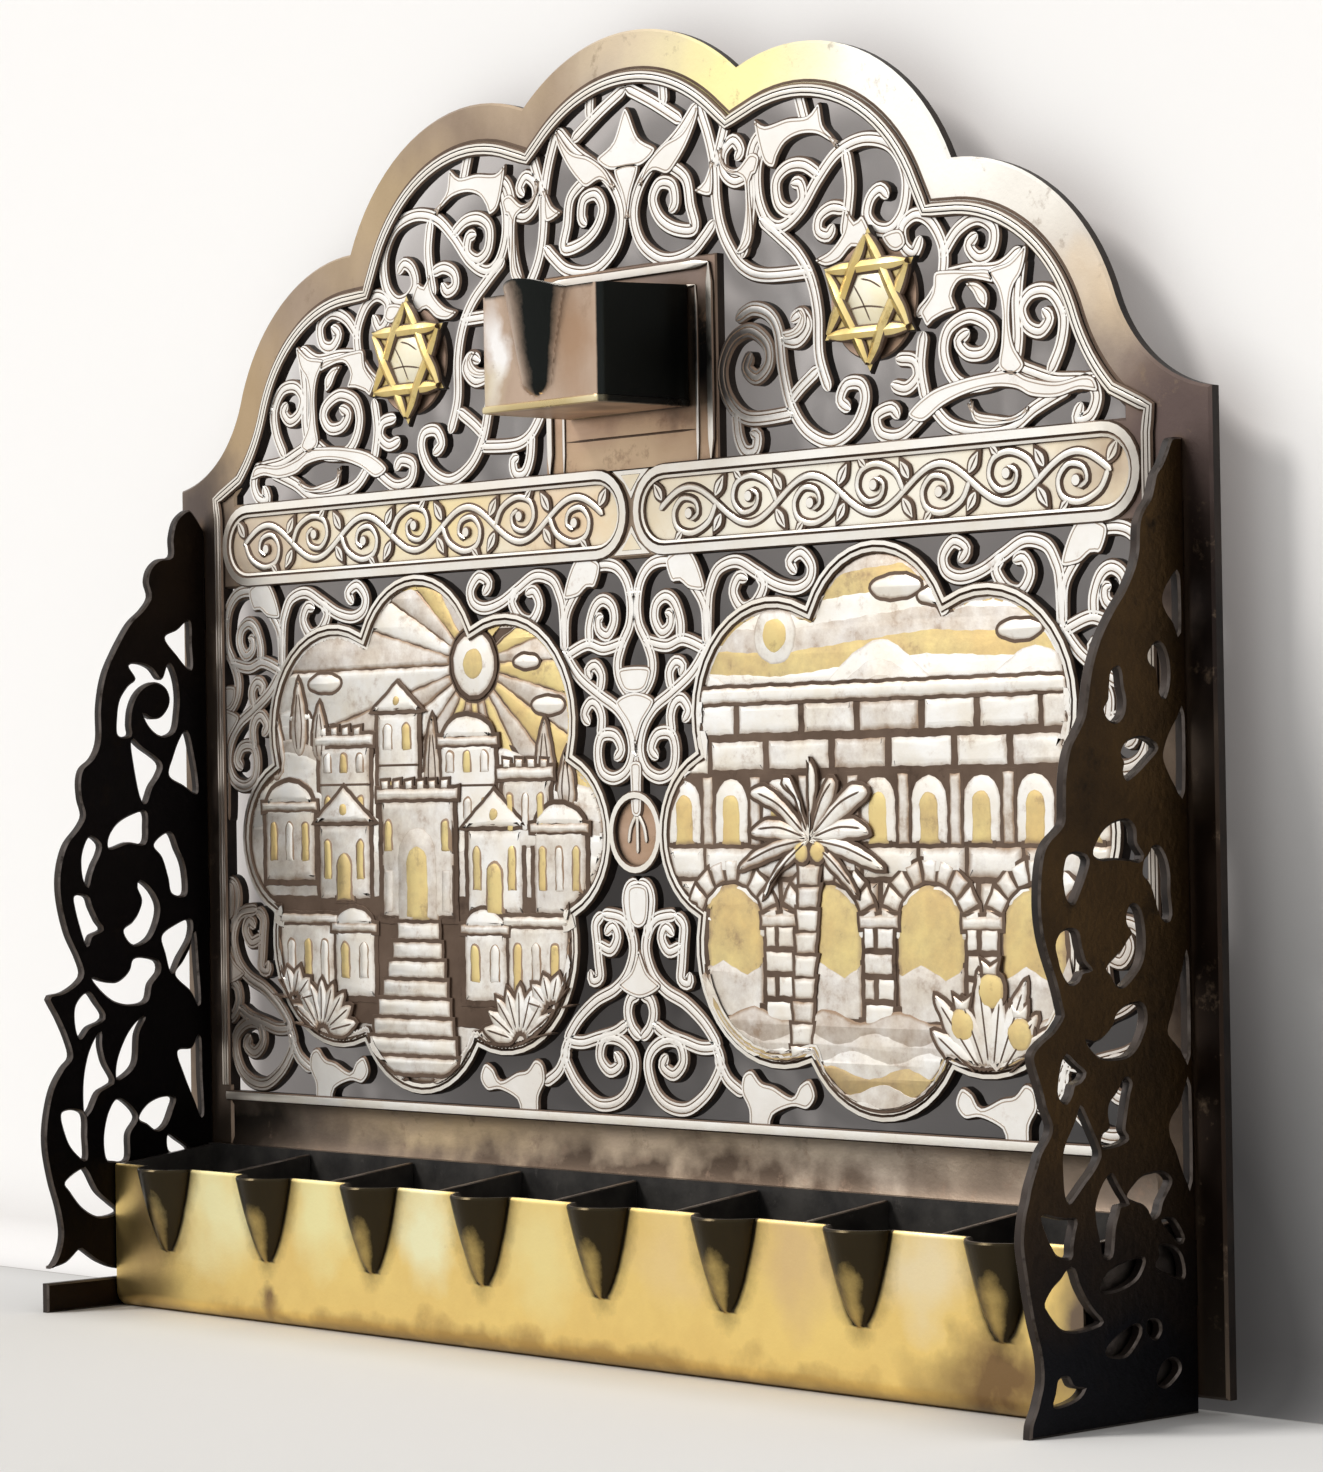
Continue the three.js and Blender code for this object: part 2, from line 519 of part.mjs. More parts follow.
function lowerPlace([x, z]) {
  const across = plateHalf / plateHalfShare;
  const upwards = (bandBottom - lowerFieldBottom) / lowerTopShare;
  return [x * across, lowerFieldBottom + z * upwards];
}

function medallionOutline(shrink) {
  const halfWidth = medallionHalfWidth - shrink;
  const halfHeight = medallionHalfHeight - shrink;
  const place = ([x, z]) => [x * halfWidth, z * halfHeight];
  return lobeShares.flatMap(([a, m, b]) => arcThrough(place(a), place(m), place(b), 3 * curveSteps));
}

function cartoucheOutline(shrink) {
  const height = bandTop - bandBottom - 2 * shrink;
  const left = bandGap / 2 + shrink;
  const right = fieldHalf - shrink;
  const low = bandBottom + shrink;
  const high = bandTop - shrink;
  const r = height / 2;
  return [
    ...arcThrough([left + r, low], [left, low + r], [left + r, high], 4 * curveSteps),
    ...arcThrough([right - r, high], [right, low + r], [right - r, low], 4 * curveSteps),
  ];
}

function shifted(points, x, z) {
  return points.map((point) => [point[0] + x, point[1] + z]);
}

function both(points) {
  return [points, mirrored(points)];
}

// The window that the openwork fills: everything inside the rim and above the plain foot band.
function fieldWindow() {
  const inside = inset(plateOutline(), rimWidth + lineWidth);
  const thick = plateThick + 2 * overrun;
  return solidOf(slab(outlineShape(inside), -overrun, plateBack + overrun))
    .intersect(solidOf(block(2 * fieldHalf, thick, crownHeight,
      0, plateThick / 2, lowerFieldBottom + crownHeight / 2)));
}

function vineSolids() {
  const front = 0;
  const back = plateBack;
  const upperStrokes = upperVineShares.map((line) => line.map(upperPlace));
  const lowerInner = lowerVineShares.map((line) => line.map(lowerPlace));
  const lowerOuter = lowerInner.map((line) => line.map(([x, z]) => [2 * medallionX - x, z]));
  const lowerLeaves = lowerLeafShares.map((line) => line.map(lowerPlace));
  const outerLeaves = lowerLeaves.map((line) => line.map(([x, z]) => [2 * medallionX - x, z]));
  const upperLeaves = upperLeafShares.map((line) => line.map(upperPlace));
  const solids = [];
  [...upperStrokes, ...lowerInner, ...lowerOuter].forEach((line) => {
    both(line).forEach((side) => solids.push(...stroke(side, vineWidth, front, back)));
  });
  [...upperLeaves, ...lowerLeaves, ...outerLeaves].forEach((leaf) => {
    both(leaf).forEach((side) => solids.push(solidOf(slab(outlineShape(side), front, back))));
  });
  return solids;
}

function discSolid(radius, x, z, front, back) {
  const shape = new THREE.Shape();
  shape.absarc(x, z, radius, 0, 2 * Math.PI, false);
  const geometry = new THREE.ExtrudeGeometry(shape, {
    depth: back - front, bevelEnabled: false, curveSegments: 10 * curveSteps,
  });
  geometry.rotateX(Math.PI / 2);
  geometry.translate(0, back, 0);
  return solidOf(geometry);
}

function ringSolid(outer, inner, front, back) {
  const whole = solidOf(slab(outlineShape(outer), front, back));
  const hole = solidOf(slab(outlineShape(inner), front - overrun, back + overrun));
  return whole.subtract(hole);
}

function panelSlots() {
  return tenonHeightShares.flatMap((share) => [-1, 1].map((side) => solidOf(block(
    panelThick + 2 * slotClearance,
    plateThick + 2 * overrun,
    tenonHeight + 2 * slotClearance,
    side * (panelInner + panelThick / 2),
    plateThick / 2,
    share * panelHeight,
  ))));
}

function cupSlot() {
  return solidOf(block(
    2 * (cupTenonHalf + slotClearance),
    plateThick + 2 * overrun,
    cupTenonHeight + 2 * slotClearance,
    0,
    plateThick / 2,
    cupBottom + cupWall / 2,
  ));
}

function backplate() {
  const outline = plateOutline();
  const whole = solidOf(slab(outlineShape(outline), 0, plateBack));
  const frames = [-1, 1].flatMap((side) => [
    solidOf(slab(outlineShape(shifted(medallionOutline(0), side * medallionX, medallionZ)),
      0, plateBack)),
    ringSolid(
      shifted(medallionOutline(0), side * medallionX, medallionZ),
      shifted(medallionOutline(frameWidth), side * medallionX, medallionZ),
      -lineRaise,
      plateBack,
    ),
    discSolid(starPadRadius, side * starX, starZ, 0, plateBack),
  ]);
  const bands = both(cartoucheOutline(0)).flatMap((line, i) => [
    solidOf(slab(outlineShape(line), 0, plateBack)),
    ringSolid(line, both(cartoucheOutline(frameWidth))[i], -lineRaise, plateBack),
  ]);
  const bandStrip = solidOf(block(
    2 * fieldHalf, plateThick, bandTop - bandBottom - 2 * bandGap,
    0, plateThick / 2, (bandTop + bandBottom) / 2,
  ));
  const cupPad = solidOf(block(
    2 * cupPadHalf, plateThick, cupPadTop - bandTop + bandGap,
    0, plateThick / 2, (cupPadTop + bandTop - bandGap) / 2,
  ));
  const eye = discSolid(eyeRadius, 0, medallionZ, 0, plateBack);
  const limit = solidOf(slab(outlineShape(inset(outline, rimWidth)), -2 * lineRaise,
    plateBack + overrun));
  const openwork = joined([...vineSolids(), ...frames, ...bands, bandStrip, cupPad, eye])
    .intersect(limit);
  const line = ringSolid(inset(outline, rimWidth), inset(outline, rimWidth + lineWidth),
    -lineRaise, plateBack)
    .subtract(solidOf(block(2 * plateHalf, 2 * plateThick + 2 * lineRaise + overrun,
      2 * shoulderHeight - 2 * rimWidth, 0, 0, 0)));
  const floorLine = solidOf(block(2 * fieldHalf, lineRaise + plateThick, lineWidth,
    0, (plateThick - lineRaise) / 2, lowerFieldBottom - lineWidth / 2));
  const recesses = [
    ...[-1, 1].map((side) => solidOf(slab(outlineShape(
      shifted(medallionOutline(frameWidth), side * medallionX, medallionZ),
    ), -lineRaise - overrun, recessDepth))),
    ...both(cartoucheOutline(frameWidth)).map((shape) => solidOf(
      slab(outlineShape(shape), -lineRaise - overrun, recessDepth),
    )),
  ];
  const body = whole.subtract(fieldWindow()).add(openwork).add(line).add(floorLine);
  const cuts = joined([...recesses, ...panelSlots(), cupSlot()]);
  return named('backplate', geometryOf(body.subtract(cuts)), brass.rim);
}

function panelGeometry() {
  const place = ([forward, up]) => [-forward * panelDepth, up * panelHeight];
  const outline = [
    [0, 0], [-panelDepth, 0], [-panelDepth, footHeight],
    ...panelOutlineShares.map(place),
  ].map(([y, z]) => [Math.min(y, -seatGap), z]);
  const depth = { depth: panelThick, bevelEnabled: false };
  const whole = solidOf(new THREE.ExtrudeGeometry(outlineShape(outline), depth));
  const cut = { depth: panelThick + 2 * overrun, bevelEnabled: false };
  const holes = [...panelOpeningShares, panelGapShares].map((points) => {
    const geometry = new THREE.ExtrudeGeometry(outlineShape(points.map(place)), cut);
    geometry.translate(0, 0, -overrun);
    return solidOf(geometry);
  });
  const reach = plateThick + tenonReach + panelThick;
  const tenons = tenonHeightShares.map((share) => solidOf(block(
    reach, tenonHeight, panelThick,
    reach / 2 - panelThick, share * panelHeight, panelThick / 2,
  )));
  return geometryOf(joined([whole.subtract(joined(holes)), ...tenons]));
}

function sidePanel(name, x) {
  const mesh = named(name, panelGeometry(), brass.panel);
  mesh.rotation.set(Math.PI / 2, Math.PI / 2, 0);
  mesh.position.x = x;
  return mesh;
}

// A cone that stands on its point, flattened front to back, cut off level at its top.
function beak(halfWidth, reach, height) {
  const geometry = new THREE.ConeGeometry(1, height, spoutSides);
  geometry.rotateX(-Math.PI / 2);
  geometry.scale(halfWidth, reach, 1);
  geometry.translate(0, 0, -height / 2);
  return geometry;
}

function spoutPair(x, faceY, rim, tip, halfWidth, reach) {
  const height = rim - tip;
  const outer = beak(halfWidth, reach, height);
  outer.translate(x, faceY, rim);
  const front = solidOf(block(
    2 * halfWidth + overrun, reach + sheetThick, height + overrun,
    x, faceY - (reach + sheetThick) / 2 + sheetThick, rim - height / 2,
  ));
  const share = 1 - sheetThick / halfWidth;
  const grow = 1 + overrun / (height * share);
  const inner = beak(halfWidth * share * grow, (reach - sheetThick) * grow, height * share * grow);
  inner.translate(x, faceY, rim + overrun);
  return { shell: solidOf(outer).intersect(front), hollow: solidOf(inner) };
}

function troughProfile() {
  const shape = new THREE.Shape();
  const r = troughBend;
  const inner = troughBend - sheetThick;
  const back = -seatGap;
  shape.moveTo(-troughFront, troughRim);
  shape.lineTo(-troughFront, r);
  shape.absarc(-troughFront + r, r, r, Math.PI, 1.5 * Math.PI, false);
  shape.lineTo(back, 0);
  shape.lineTo(back, troughBack);
  shape.lineTo(back - sheetThick, troughBack);
  shape.lineTo(back - sheetThick, sheetThick);
  shape.lineTo(-troughFront + r, sheetThick);
  shape.absarc(-troughFront + r, r, inner, 1.5 * Math.PI, Math.PI, true);
  shape.lineTo(-troughFront + sheetThick, troughRim);
  shape.closePath();
  return shape;
}

function alongX(shape, length) {
  const geometry = new THREE.ExtrudeGeometry(shape, {
    depth: length, bevelEnabled: false, curveSegments: 3 * curveSteps,
  });
  geometry.rotateY(Math.PI / 2);
  geometry.rotateX(Math.PI / 2);
  geometry.translate(-length / 2, 0, 0);
  return geometry;
}

function spoutX(index) {
  return (index - (wellCount - 1) / 2) * wellPitch;
}

function oilTrough() {
  const half = panelInner - seatGap;
  const channel = solidOf(alongX(troughProfile(), 2 * half));
  const inside = troughFront - seatGap;
  const ends = [-1, 1].map((side) => solidOf(block(
    sheetThick, inside - troughBend, troughRim,
    side * (half - sheetThick / 2), -seatGap - (inside - troughBend) / 2, troughRim / 2,
  )).add(solidOf(block(
    sheetThick, troughBend + overrun, troughRim - troughBend,
    side * (half - sheetThick / 2), -troughFront + (troughBend + overrun) / 2,
    (troughRim + troughBend) / 2,
  ))));
  const spouts = [];
  for (let i = 0; i < wellCount; i += 1) {
    spouts.push(spoutPair(spoutX(i), -troughFront, troughRim, spoutTip, spoutHalfWidth,
      spoutReach));
  }
  const body = joined([channel, ...ends, ...spouts.map((spout) => spout.shell)]);
  const cuts = joined(spouts.map((spout) => spout.hollow));
  return named('oil_trough', geometryOf(body.subtract(cuts)), brass.trough);
}

function divider(index) {
  const front = -troughFront + sheetThick + seatGap;
  const back = -2 * seatGap - sheetThick;
  const low = sheetThick + seatGap;
  const shape = outlineShape([
    [front, troughRim - dividerDrop], [back, troughBack - dividerDrop], [back, low],
    [front + dividerCorner, low], [front, low + dividerCorner],
  ]);
  const mesh = named(`well_divider_${index}`, alongX(shape, dividerThick), brass.soot);
  mesh.position.x = (index - wellCount / 2) * wellPitch;
  return mesh;
}

function servantCup() {
  const front = -cupDepth;
  const back = -seatGap;
  const wall = sheetThick;
  const outer = outlineShape([
    [back, cupBottom], [back, cupBottom + cupWall + cupRise],
    [front, cupBottom + cupWall], [front, cupBottom],
  ]);
  const hollow = outlineShape([
    [back - wall, cupBottom + wall], [back - wall, cupBottom + cupWall + cupRise + overrun],
    [front + wall, cupBottom + cupWall + overrun], [front + wall, cupBottom + wall],
  ]);
  const spout = spoutPair(0, front, cupBottom + cupWall,
    cupBottom + cupSpoutTip, cupSpoutHalf, cupSpoutReach);
  const tenon = solidOf(block(
    2 * cupTenonHalf, plateThick + tenonReach + wall + seatGap, cupTenonHeight,
    0, (plateThick + tenonReach - wall - seatGap) / 2, cupBottom + cupWall / 2,
  ));
  const body = solidOf(alongX(outer, 2 * cupHalf)).add(spout.shell)
    .subtract(solidOf(alongX(hollow, 2 * (cupHalf - wall))))
    .subtract(spout.hollow)
    .add(tenon);
  return named('servant_cup', geometryOf(body), brass.cup);
}

// Two interlaced triangles as one raised star with a solid middle.
function starGeometry() {
  const triangle = (radius, start) => outlineShape([0, 1, 2].map((i) => {
    const t = start + i * 2 * Math.PI / 3;
    return [radius * Math.cos(t), radius * Math.sin(t)];
  }));
  const plate = (start) => solidOf(slab(triangle(starRadius, start),
    -seatGap - starThick / 2, -seatGap));
  const rim = (start) => solidOf(slab(triangle(starRadius, start), -seatGap - starThick,
    -seatGap - starThick / 2))
    .subtract(solidOf(slab(triangle(starRadius - 2 * starBar, start),
      -seatGap - starThick - overrun, -seatGap)));
  return geometryOf(joined([
    plate(Math.PI / 2), plate(-Math.PI / 2), rim(Math.PI / 2), rim(-Math.PI / 2),
  ]));
}

function star(name, side) {
  const mesh = named(name, starGeometry(), brass.star);
  mesh.position.set(side * starX, 0, starZ);
  return mesh;
}

function medallionPlaque(name, side) {
  const back = recessDepth - seatGap;
  const outline = medallionOutline(frameWidth + seatGap);
  const geometry = slab(outlineShape(outline), back - plaqueThick, back);
  const mesh = named(name, geometryOf(solidOf(geometry)), brass.plaque);
  mesh.position.set(side * medallionX, 0, medallionZ);
  return mesh;
}

function bandPlaque(name, side) {
  const back = recessDepth - seatGap;
  const outline = both(cartoucheOutline(frameWidth + seatGap))[side < 0 ? 1 : 0];
  const geometry = slab(outlineShape(outline), back - plaqueThick, back);
  return named(name, geometryOf(solidOf(geometry)), brass.gilt);
}

const lamp = new THREE.Group();
lamp.position.y = (panelDepth - plateThick - tenonReach) / 2;
lamp.add(backplate());
lamp.add(sidePanel('side_panel_left', -panelInner - panelThick));
lamp.add(sidePanel('side_panel_right', panelInner));
lamp.add(oilTrough());
for (let i = 1; i < wellCount; i += 1) lamp.add(divider(i));
lamp.add(servantCup());
lamp.add(star('star_left', -1), star('star_right', 1));
lamp.add(medallionPlaque('medallion_left', -1), medallionPlaque('medallion_right', 1));
lamp.add(bandPlaque('band_plaque_left', -1), bandPlaque('band_plaque_right', 1));

export default lamp;
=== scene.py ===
import itertools
import math

import bmesh
import bpy
from mathutils import Matrix, Vector
from mathutils.geometry import tessellate_polygon


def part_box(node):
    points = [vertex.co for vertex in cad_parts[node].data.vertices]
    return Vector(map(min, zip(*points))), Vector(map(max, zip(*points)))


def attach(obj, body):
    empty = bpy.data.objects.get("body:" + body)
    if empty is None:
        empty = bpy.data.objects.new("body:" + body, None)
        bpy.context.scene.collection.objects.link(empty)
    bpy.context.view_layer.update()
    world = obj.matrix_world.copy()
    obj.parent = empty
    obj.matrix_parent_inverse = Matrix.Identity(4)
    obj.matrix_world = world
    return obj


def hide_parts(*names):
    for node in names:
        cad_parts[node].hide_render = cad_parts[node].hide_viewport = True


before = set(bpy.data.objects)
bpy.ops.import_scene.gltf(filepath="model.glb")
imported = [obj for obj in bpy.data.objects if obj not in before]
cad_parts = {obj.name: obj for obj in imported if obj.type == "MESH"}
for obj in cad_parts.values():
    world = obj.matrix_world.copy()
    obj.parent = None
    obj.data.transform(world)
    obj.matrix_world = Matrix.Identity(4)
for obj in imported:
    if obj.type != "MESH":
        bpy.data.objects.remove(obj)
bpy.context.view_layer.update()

MM = 0.001

# Sizes in mm. All pieces are drawn with the backplate's front face at y = 0, front towards -y.
PLATE_LOW, PLATE_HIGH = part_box("backplate")
LINE_RAISE = 0.6
PLATE_Y = PLATE_LOW[1] / MM + LINE_RAISE
PLATE_BACK = PLATE_HIGH[1] / MM - PLATE_Y
PLATE_HALF = PLATE_HIGH[0] / MM
PLATE_FOOT = PLATE_LOW[2] / MM
CROWN = PLATE_HIGH[2] / MM

# The camera, in mm from the plate's front face, and its angles in radians
CAMERA_AT = (493.59, -450.56, 83.93)
YAW, PITCH, ROLL = 0.824939, 0.0135308, -0.0163457
FOCAL_PX, LONG_SIDE_PX, SENSOR = 4375.38, 1472, 36


def make_camera():
    forward = Vector((-math.sin(YAW) * math.cos(PITCH), math.cos(YAW) * math.cos(PITCH), math.sin(PITCH)))
    right = Vector((math.cos(YAW), math.sin(YAW), 0))
    up = right.cross(forward)
    across = right * math.cos(ROLL) + up * math.sin(ROLL)
    upwards = up * math.cos(ROLL) - right * math.sin(ROLL)
    data = bpy.data.cameras.new("camera")
    data.sensor_width = SENSOR
    data.lens = FOCAL_PX / LONG_SIDE_PX * SENSOR
    data.clip_start, data.clip_end = 0.01, 20
    cam = bpy.data.objects.new("camera", data)
    bpy.context.collection.objects.link(cam)
    turn = Matrix((across, upwards, -forward)).transposed().to_4x4()
    x, y, z = CAMERA_AT
    cam.matrix_world = Matrix.Translation(Vector((x, y + PLATE_Y, z)) * MM) @ turn
    bpy.context.scene.camera = cam


make_camera()
bpy.context.scene.view_settings.view_transform = "Standard"


# Materials

RAGGED_SCALE, RAGGED_REACH = 110, 14
GRAIN_DEPTH = 0.2


class Nodes:
    """The node tree of a material or a world, with short ways to add what the finishes share."""

    def __init__(self, owner):
        owner.use_nodes = True
        self.tree = owner.node_tree
        self.coords = self.new("ShaderNodeTexCoord").outputs["Object"]
        self.shifted = None

    def new(self, kind, inputs=(), **settings):
        """A node of one kind; inputs: pairs of an input's name or number and what goes into it."""
        node = self.tree.nodes.new(kind)
        for key, value in settings.items():
            setattr(node, key, value)
        self.fill(node, *inputs)
        return node

    def fill(self, node, *inputs):
        for key, value in inputs:
            self.put(value, node.inputs[key])

    def link(self, a, b):
        self.tree.links.new(a, b)

    def put(self, value, socket):
        if isinstance(value, bpy.types.NodeSocket):
            self.link(value, socket)
        elif isinstance(value, tuple) and len(value) == 3 and socket.type == "RGBA":
            socket.default_value = (*value, 1)
        else:
            socket.default_value = value

    def noise(self, scale, detail=4, rough=0.55, stretch=None):
        coords = self.coords
        if stretch:
            coords = self.new("ShaderNodeMapping", (("Scale", stretch), ("Vector", coords))).outputs[0]
        return self.new("ShaderNodeTexNoise", (("Scale", scale), ("Detail", detail), ("Roughness", rough),
                                               ("Vector", coords))).outputs["Fac"]

    def ramp(self, fac, stops):
        node = self.new("ShaderNodeValToRGB")
        while len(node.color_ramp.elements) < len(stops):
            node.color_ramp.elements.new(0.5)
        for element, (at, colour) in zip(node.color_ramp.elements, stops):
            element.position = at
            element.color = (*colour, 1) if isinstance(colour, tuple) else (colour, colour, colour, 1)
        self.link(fac, node.inputs["Fac"])
        return node.outputs["Color"]

    def mix(self, fac, a, b):
        return self.new("ShaderNodeMix", ((0, fac), (6, a), (7, b)), data_type="RGBA").outputs[2]

    def math(self, kind, a, b):
        return self.new("ShaderNodeMath", ((0, a), (1, b)), operation=kind).outputs[0]

    def either(self, value, *others):
        """One where any of the values is one."""
        for other in others:
            value = self.math("MAXIMUM", value, other)
        return value

    def uneven(self):
        """The object's coordinates shifted by noise, so that patches get ragged borders."""
        if not self.shifted:
            noise = self.new("ShaderNodeTexNoise", (("Scale", RAGGED_SCALE), ("Detail", 5),
                                                    ("Vector", self.coords))).outputs["Color"]
            middle = self.vector("SUBTRACT", noise, (1, (0.5, 0.5, 0.5)))
            small = self.vector("SCALE", middle, ("Scale", RAGGED_REACH * MM))
            self.shifted = self.vector("ADD", self.coords, (1, small))
        return self.shifted

    def vector(self, kind, first, second):
        return self.new("ShaderNodeVectorMath", ((0, first), second), operation=kind).outputs["Vector"]

    def blob(self, x, z, reach_x, reach_z, amount, ragged=True):
        """A soft round patch on the front, in mm: amount in its middle, nothing past its reach; used mostly
        for painted highlights, shade and shadows.
        """
        place = self.new("ShaderNodeMapping", (
            ("Scale", (1 / (reach_x * MM), 0, 1 / (reach_z * MM))),
            ("Location", (-x / reach_x, 0, -z / reach_z)),
            ("Vector", self.uneven() if ragged else self.coords))).outputs[0]
        ball = self.new("ShaderNodeTexGradient", (("Vector", place),), gradient_type="SPHERICAL")
        return self.ramp(ball.outputs["Fac"], [(0.0, 0), (0.75, amount)])


def metal(name, main, other, stain, metallic=0.95, rough=(0.3, 0.5), patch=90, grain=1800, bump=0.12,
          stain_at=(0.58, 0.75), crevice=None, crevice_mm=1.6, stretch=None, blobs=(), tint_and_shade=None,
          tint_and_shade_colour=(0.02, 0.02, 0.018)):
    """Patinated brass: two tones in soft patches, stains, darker hollows, fine grain, and painted
    highlights and shade.
    """
    mat = bpy.data.materials.new(name)
    n = Nodes(mat)
    patches = n.noise(patch, 5, 0.6, stretch)
    colour = n.mix(n.ramp(patches, [(0.36, 0), (0.64, 1)]), main, other)
    # Blobs, placed in mm: most are painted highlights, painted shade and painted shadows, a few are stains.
    for x, z, reach_x, reach_z, amount, shade in blobs:
        colour = n.mix(n.blob(x, z, reach_x, reach_z, amount), colour, shade)
    spots = n.noise(patch * 2.3, 6, 0.7)
    colour = n.mix(n.ramp(spots, [(stain_at[0], 0), (stain_at[1], 1)]), colour, stain)
    # A layer read from the mesh darkens towards its colour: soot on the trough and the cup, a random tint
    # on the reliefs, and painted shade on the spouts' flanks, the cup's sides and the edges of the reliefs'
    # cells.
    if tint_and_shade:
        layer = n.new("ShaderNodeAttribute", attribute_name="tint_and_shade").outputs["Fac"]
        broken = n.math("ADD", layer, n.math("MULTIPLY", n.math("SUBTRACT", spots, 0.5), tint_and_shade))
        colour = n.mix(n.ramp(broken, [(0.12, 0), (0.8, 1)]), colour, tint_and_shade_colour)
    # A darker colour in the hollows, where ambient occlusion finds them.
    if crevice:
        hollow = n.new("ShaderNodeAmbientOcclusion", (("Distance", crevice_mm * MM),), samples=6)
        colour = n.mix(n.ramp(hollow.outputs["AO"], [(0.40, 1), (0.85, 0)]), colour, crevice)
    spread = n.new("ShaderNodeMapRange", (("To Min", rough[0]), ("To Max", rough[1]), ("Value", patches)))
    bumps = n.new("ShaderNodeBump", (("Strength", bump), ("Distance", GRAIN_DEPTH * MM),
                                     ("Height", n.noise(grain, 3, 0.6))))
    n.fill(n.tree.nodes["Principled BSDF"], ("Base Color", colour), ("Metallic", metallic),
           ("Roughness", spread.outputs["Result"]), ("Normal", bumps.outputs["Normal"]))
    return mat


CREAM, CREAM_WARM = (0.93, 0.90, 0.84), (0.86, 0.80, 0.70)
# A warm dark brown, and the near black of the soot and the painted shadow beside the servant cup.
UMBER, SOOT_AND_SHADOW_BLACK = (0.13, 0.085, 0.055), (0.012, 0.011, 0.011)

# Near black for the walls of openings and sides: partly the dark sawn metal, partly painted shade on walls
# out of the light.
WALL = metal("wall_dark", (0.012, 0.009, 0.008), (0.03, 0.02, 0.015), (0.01, 0.008, 0.007), 0.6,
             (0.45, 0.6))
GROOVE = metal("groove_dark", (0.10, 0.065, 0.045), (0.16, 0.11, 0.08), (0.05, 0.03, 0.02), 0.8,
               (0.45, 0.6))
VINE_GROOVE = metal("vine_groove", (0.50, 0.41, 0.33), (0.36, 0.28, 0.22), (0.24, 0.17, 0.13), 0.85,
                    (0.35, 0.5))
BACK = metal("back_dull", (0.20, 0.14, 0.075), (0.14, 0.095, 0.055), (0.07, 0.045, 0.03), 0.9, (0.4, 0.6),
             patch=45)
# The blobs paint the light across the rim: the near-white and yellow patches at the top are painted
# highlights, the tan and brown patches follow the same light, and the dark patches at the shoulders, down
# both sides and along the foot behind the trough are painted shade and shadow.
RIM = metal("rim_satin", (0.31, 0.23, 0.165), (0.38, 0.29, 0.215), (0.25, 0.18, 0.12), 0.95, (0.34, 0.5),
            crevice=UMBER, stretch=(1, 1, 0.5), stain_at=(0.6, 0.8), blobs=(
                (62, 183, 80, 50, 1.0, (0.95, 0.92, 0.85)), (24, 190, 26, 22, 0.85, (0.98, 0.86, 0.38)),
                (0, 200, 17, 12, 0.5, (0.84, 0.68, 0.45)), (-24, 196, 14, 10, 0.4, (0.60, 0.46, 0.30)),
                (100, 152, 16, 10, 0.6, (0.86, 0.66, 0.42)),
                (112, 128, 32, 34, 1.0, (0.16, 0.115, 0.105)), (-60, 180, 26, 16, 0.45, (0.62, 0.46, 0.25)),
                (-98, 150, 22, 22, 0.4, (0.60, 0.42, 0.20)), (-112, 130, 18, 20, 0.85, (0.10, 0.08, 0.075)),
                (114, 50, 24, 112, 1.0, (0.022, 0.014, 0.010)),
                (113, 106, 8, 30, 1.0, (0.020, 0.014, 0.012)), (-108, 70, 12, 90, 0.9, (0.05, 0.035, 0.03)),
                (0, 10, 140, 22, 1.0, (0.03, 0.025, 0.02))))
# The dark strip along the right edge is painted shade and the near-black patch right of the cup is its
# painted shadow; the lines are also darker along the left edge and at the upper left.
LINE = metal("line_bright", CREAM, CREAM_WARM, (0.62, 0.5, 0.38), 0.9, (0.25, 0.4), crevice_mm=0.8,
             stain_at=(0.66, 0.85), crevice=(0.3, 0.2, 0.13), blobs=(
                 (108, 80, 13, 100, 0.9, (0.12, 0.085, 0.06)), (-104, 80, 14, 90, 0.6, (0.42, 0.33, 0.27)),
                 (-20, 160, 60, 40, 0.35, (0.70, 0.60, 0.52)),
                 (17, 151, 8, 15, 0.95, SOOT_AND_SHADOW_BLACK)))
# The near-black patch right of the cup is its painted shadow, with soot; the vines are also browner low in
# the middle and along both sides.
VINE = metal("vine_bright", (0.98, 0.96, 0.92), (0.90, 0.86, 0.80), (0.58, 0.46, 0.38), 0.85, (0.28, 0.42),
             stain_at=(0.62, 0.84), blobs=(
                 (22, 148, 14, 17, 0.92, (0.05, 0.035, 0.03)), (0, 30, 60, 16, 0.3, (0.7, 0.6, 0.5)),
                 (-97, 60, 18, 64, 0.75, (0.42, 0.34, 0.28)), (100, 60, 14, 60, 0.5, (0.42, 0.34, 0.28))))
# The near-black patches beside and behind the cup are its painted shadow, with soot; the pad is also
# lighter at its foot, greyer above the cup and mauve behind the stars.
PAD = metal("pad_copper", (0.42, 0.27, 0.17), (0.52, 0.36, 0.26), (0.26, 0.16, 0.10), 0.9, (0.35, 0.5),
            crevice=UMBER, stretch=(0.4, 1, 1.6), blobs=(
                (0, 136, 24, 7, 0.7, (0.66, 0.50, 0.33)), (9, 152, 24, 13, 1.0, SOOT_AND_SHADOW_BLACK),
                (17, 150, 8, 14, 1.0, SOOT_AND_SHADOW_BLACK), (9, 164, 22, 7, 0.7, (0.20, 0.16, 0.15)),
                (-52, 155, 12, 12, 0.7, (0.50, 0.38, 0.33)), (52, 155, 12, 12, 0.7, (0.50, 0.38, 0.33))))
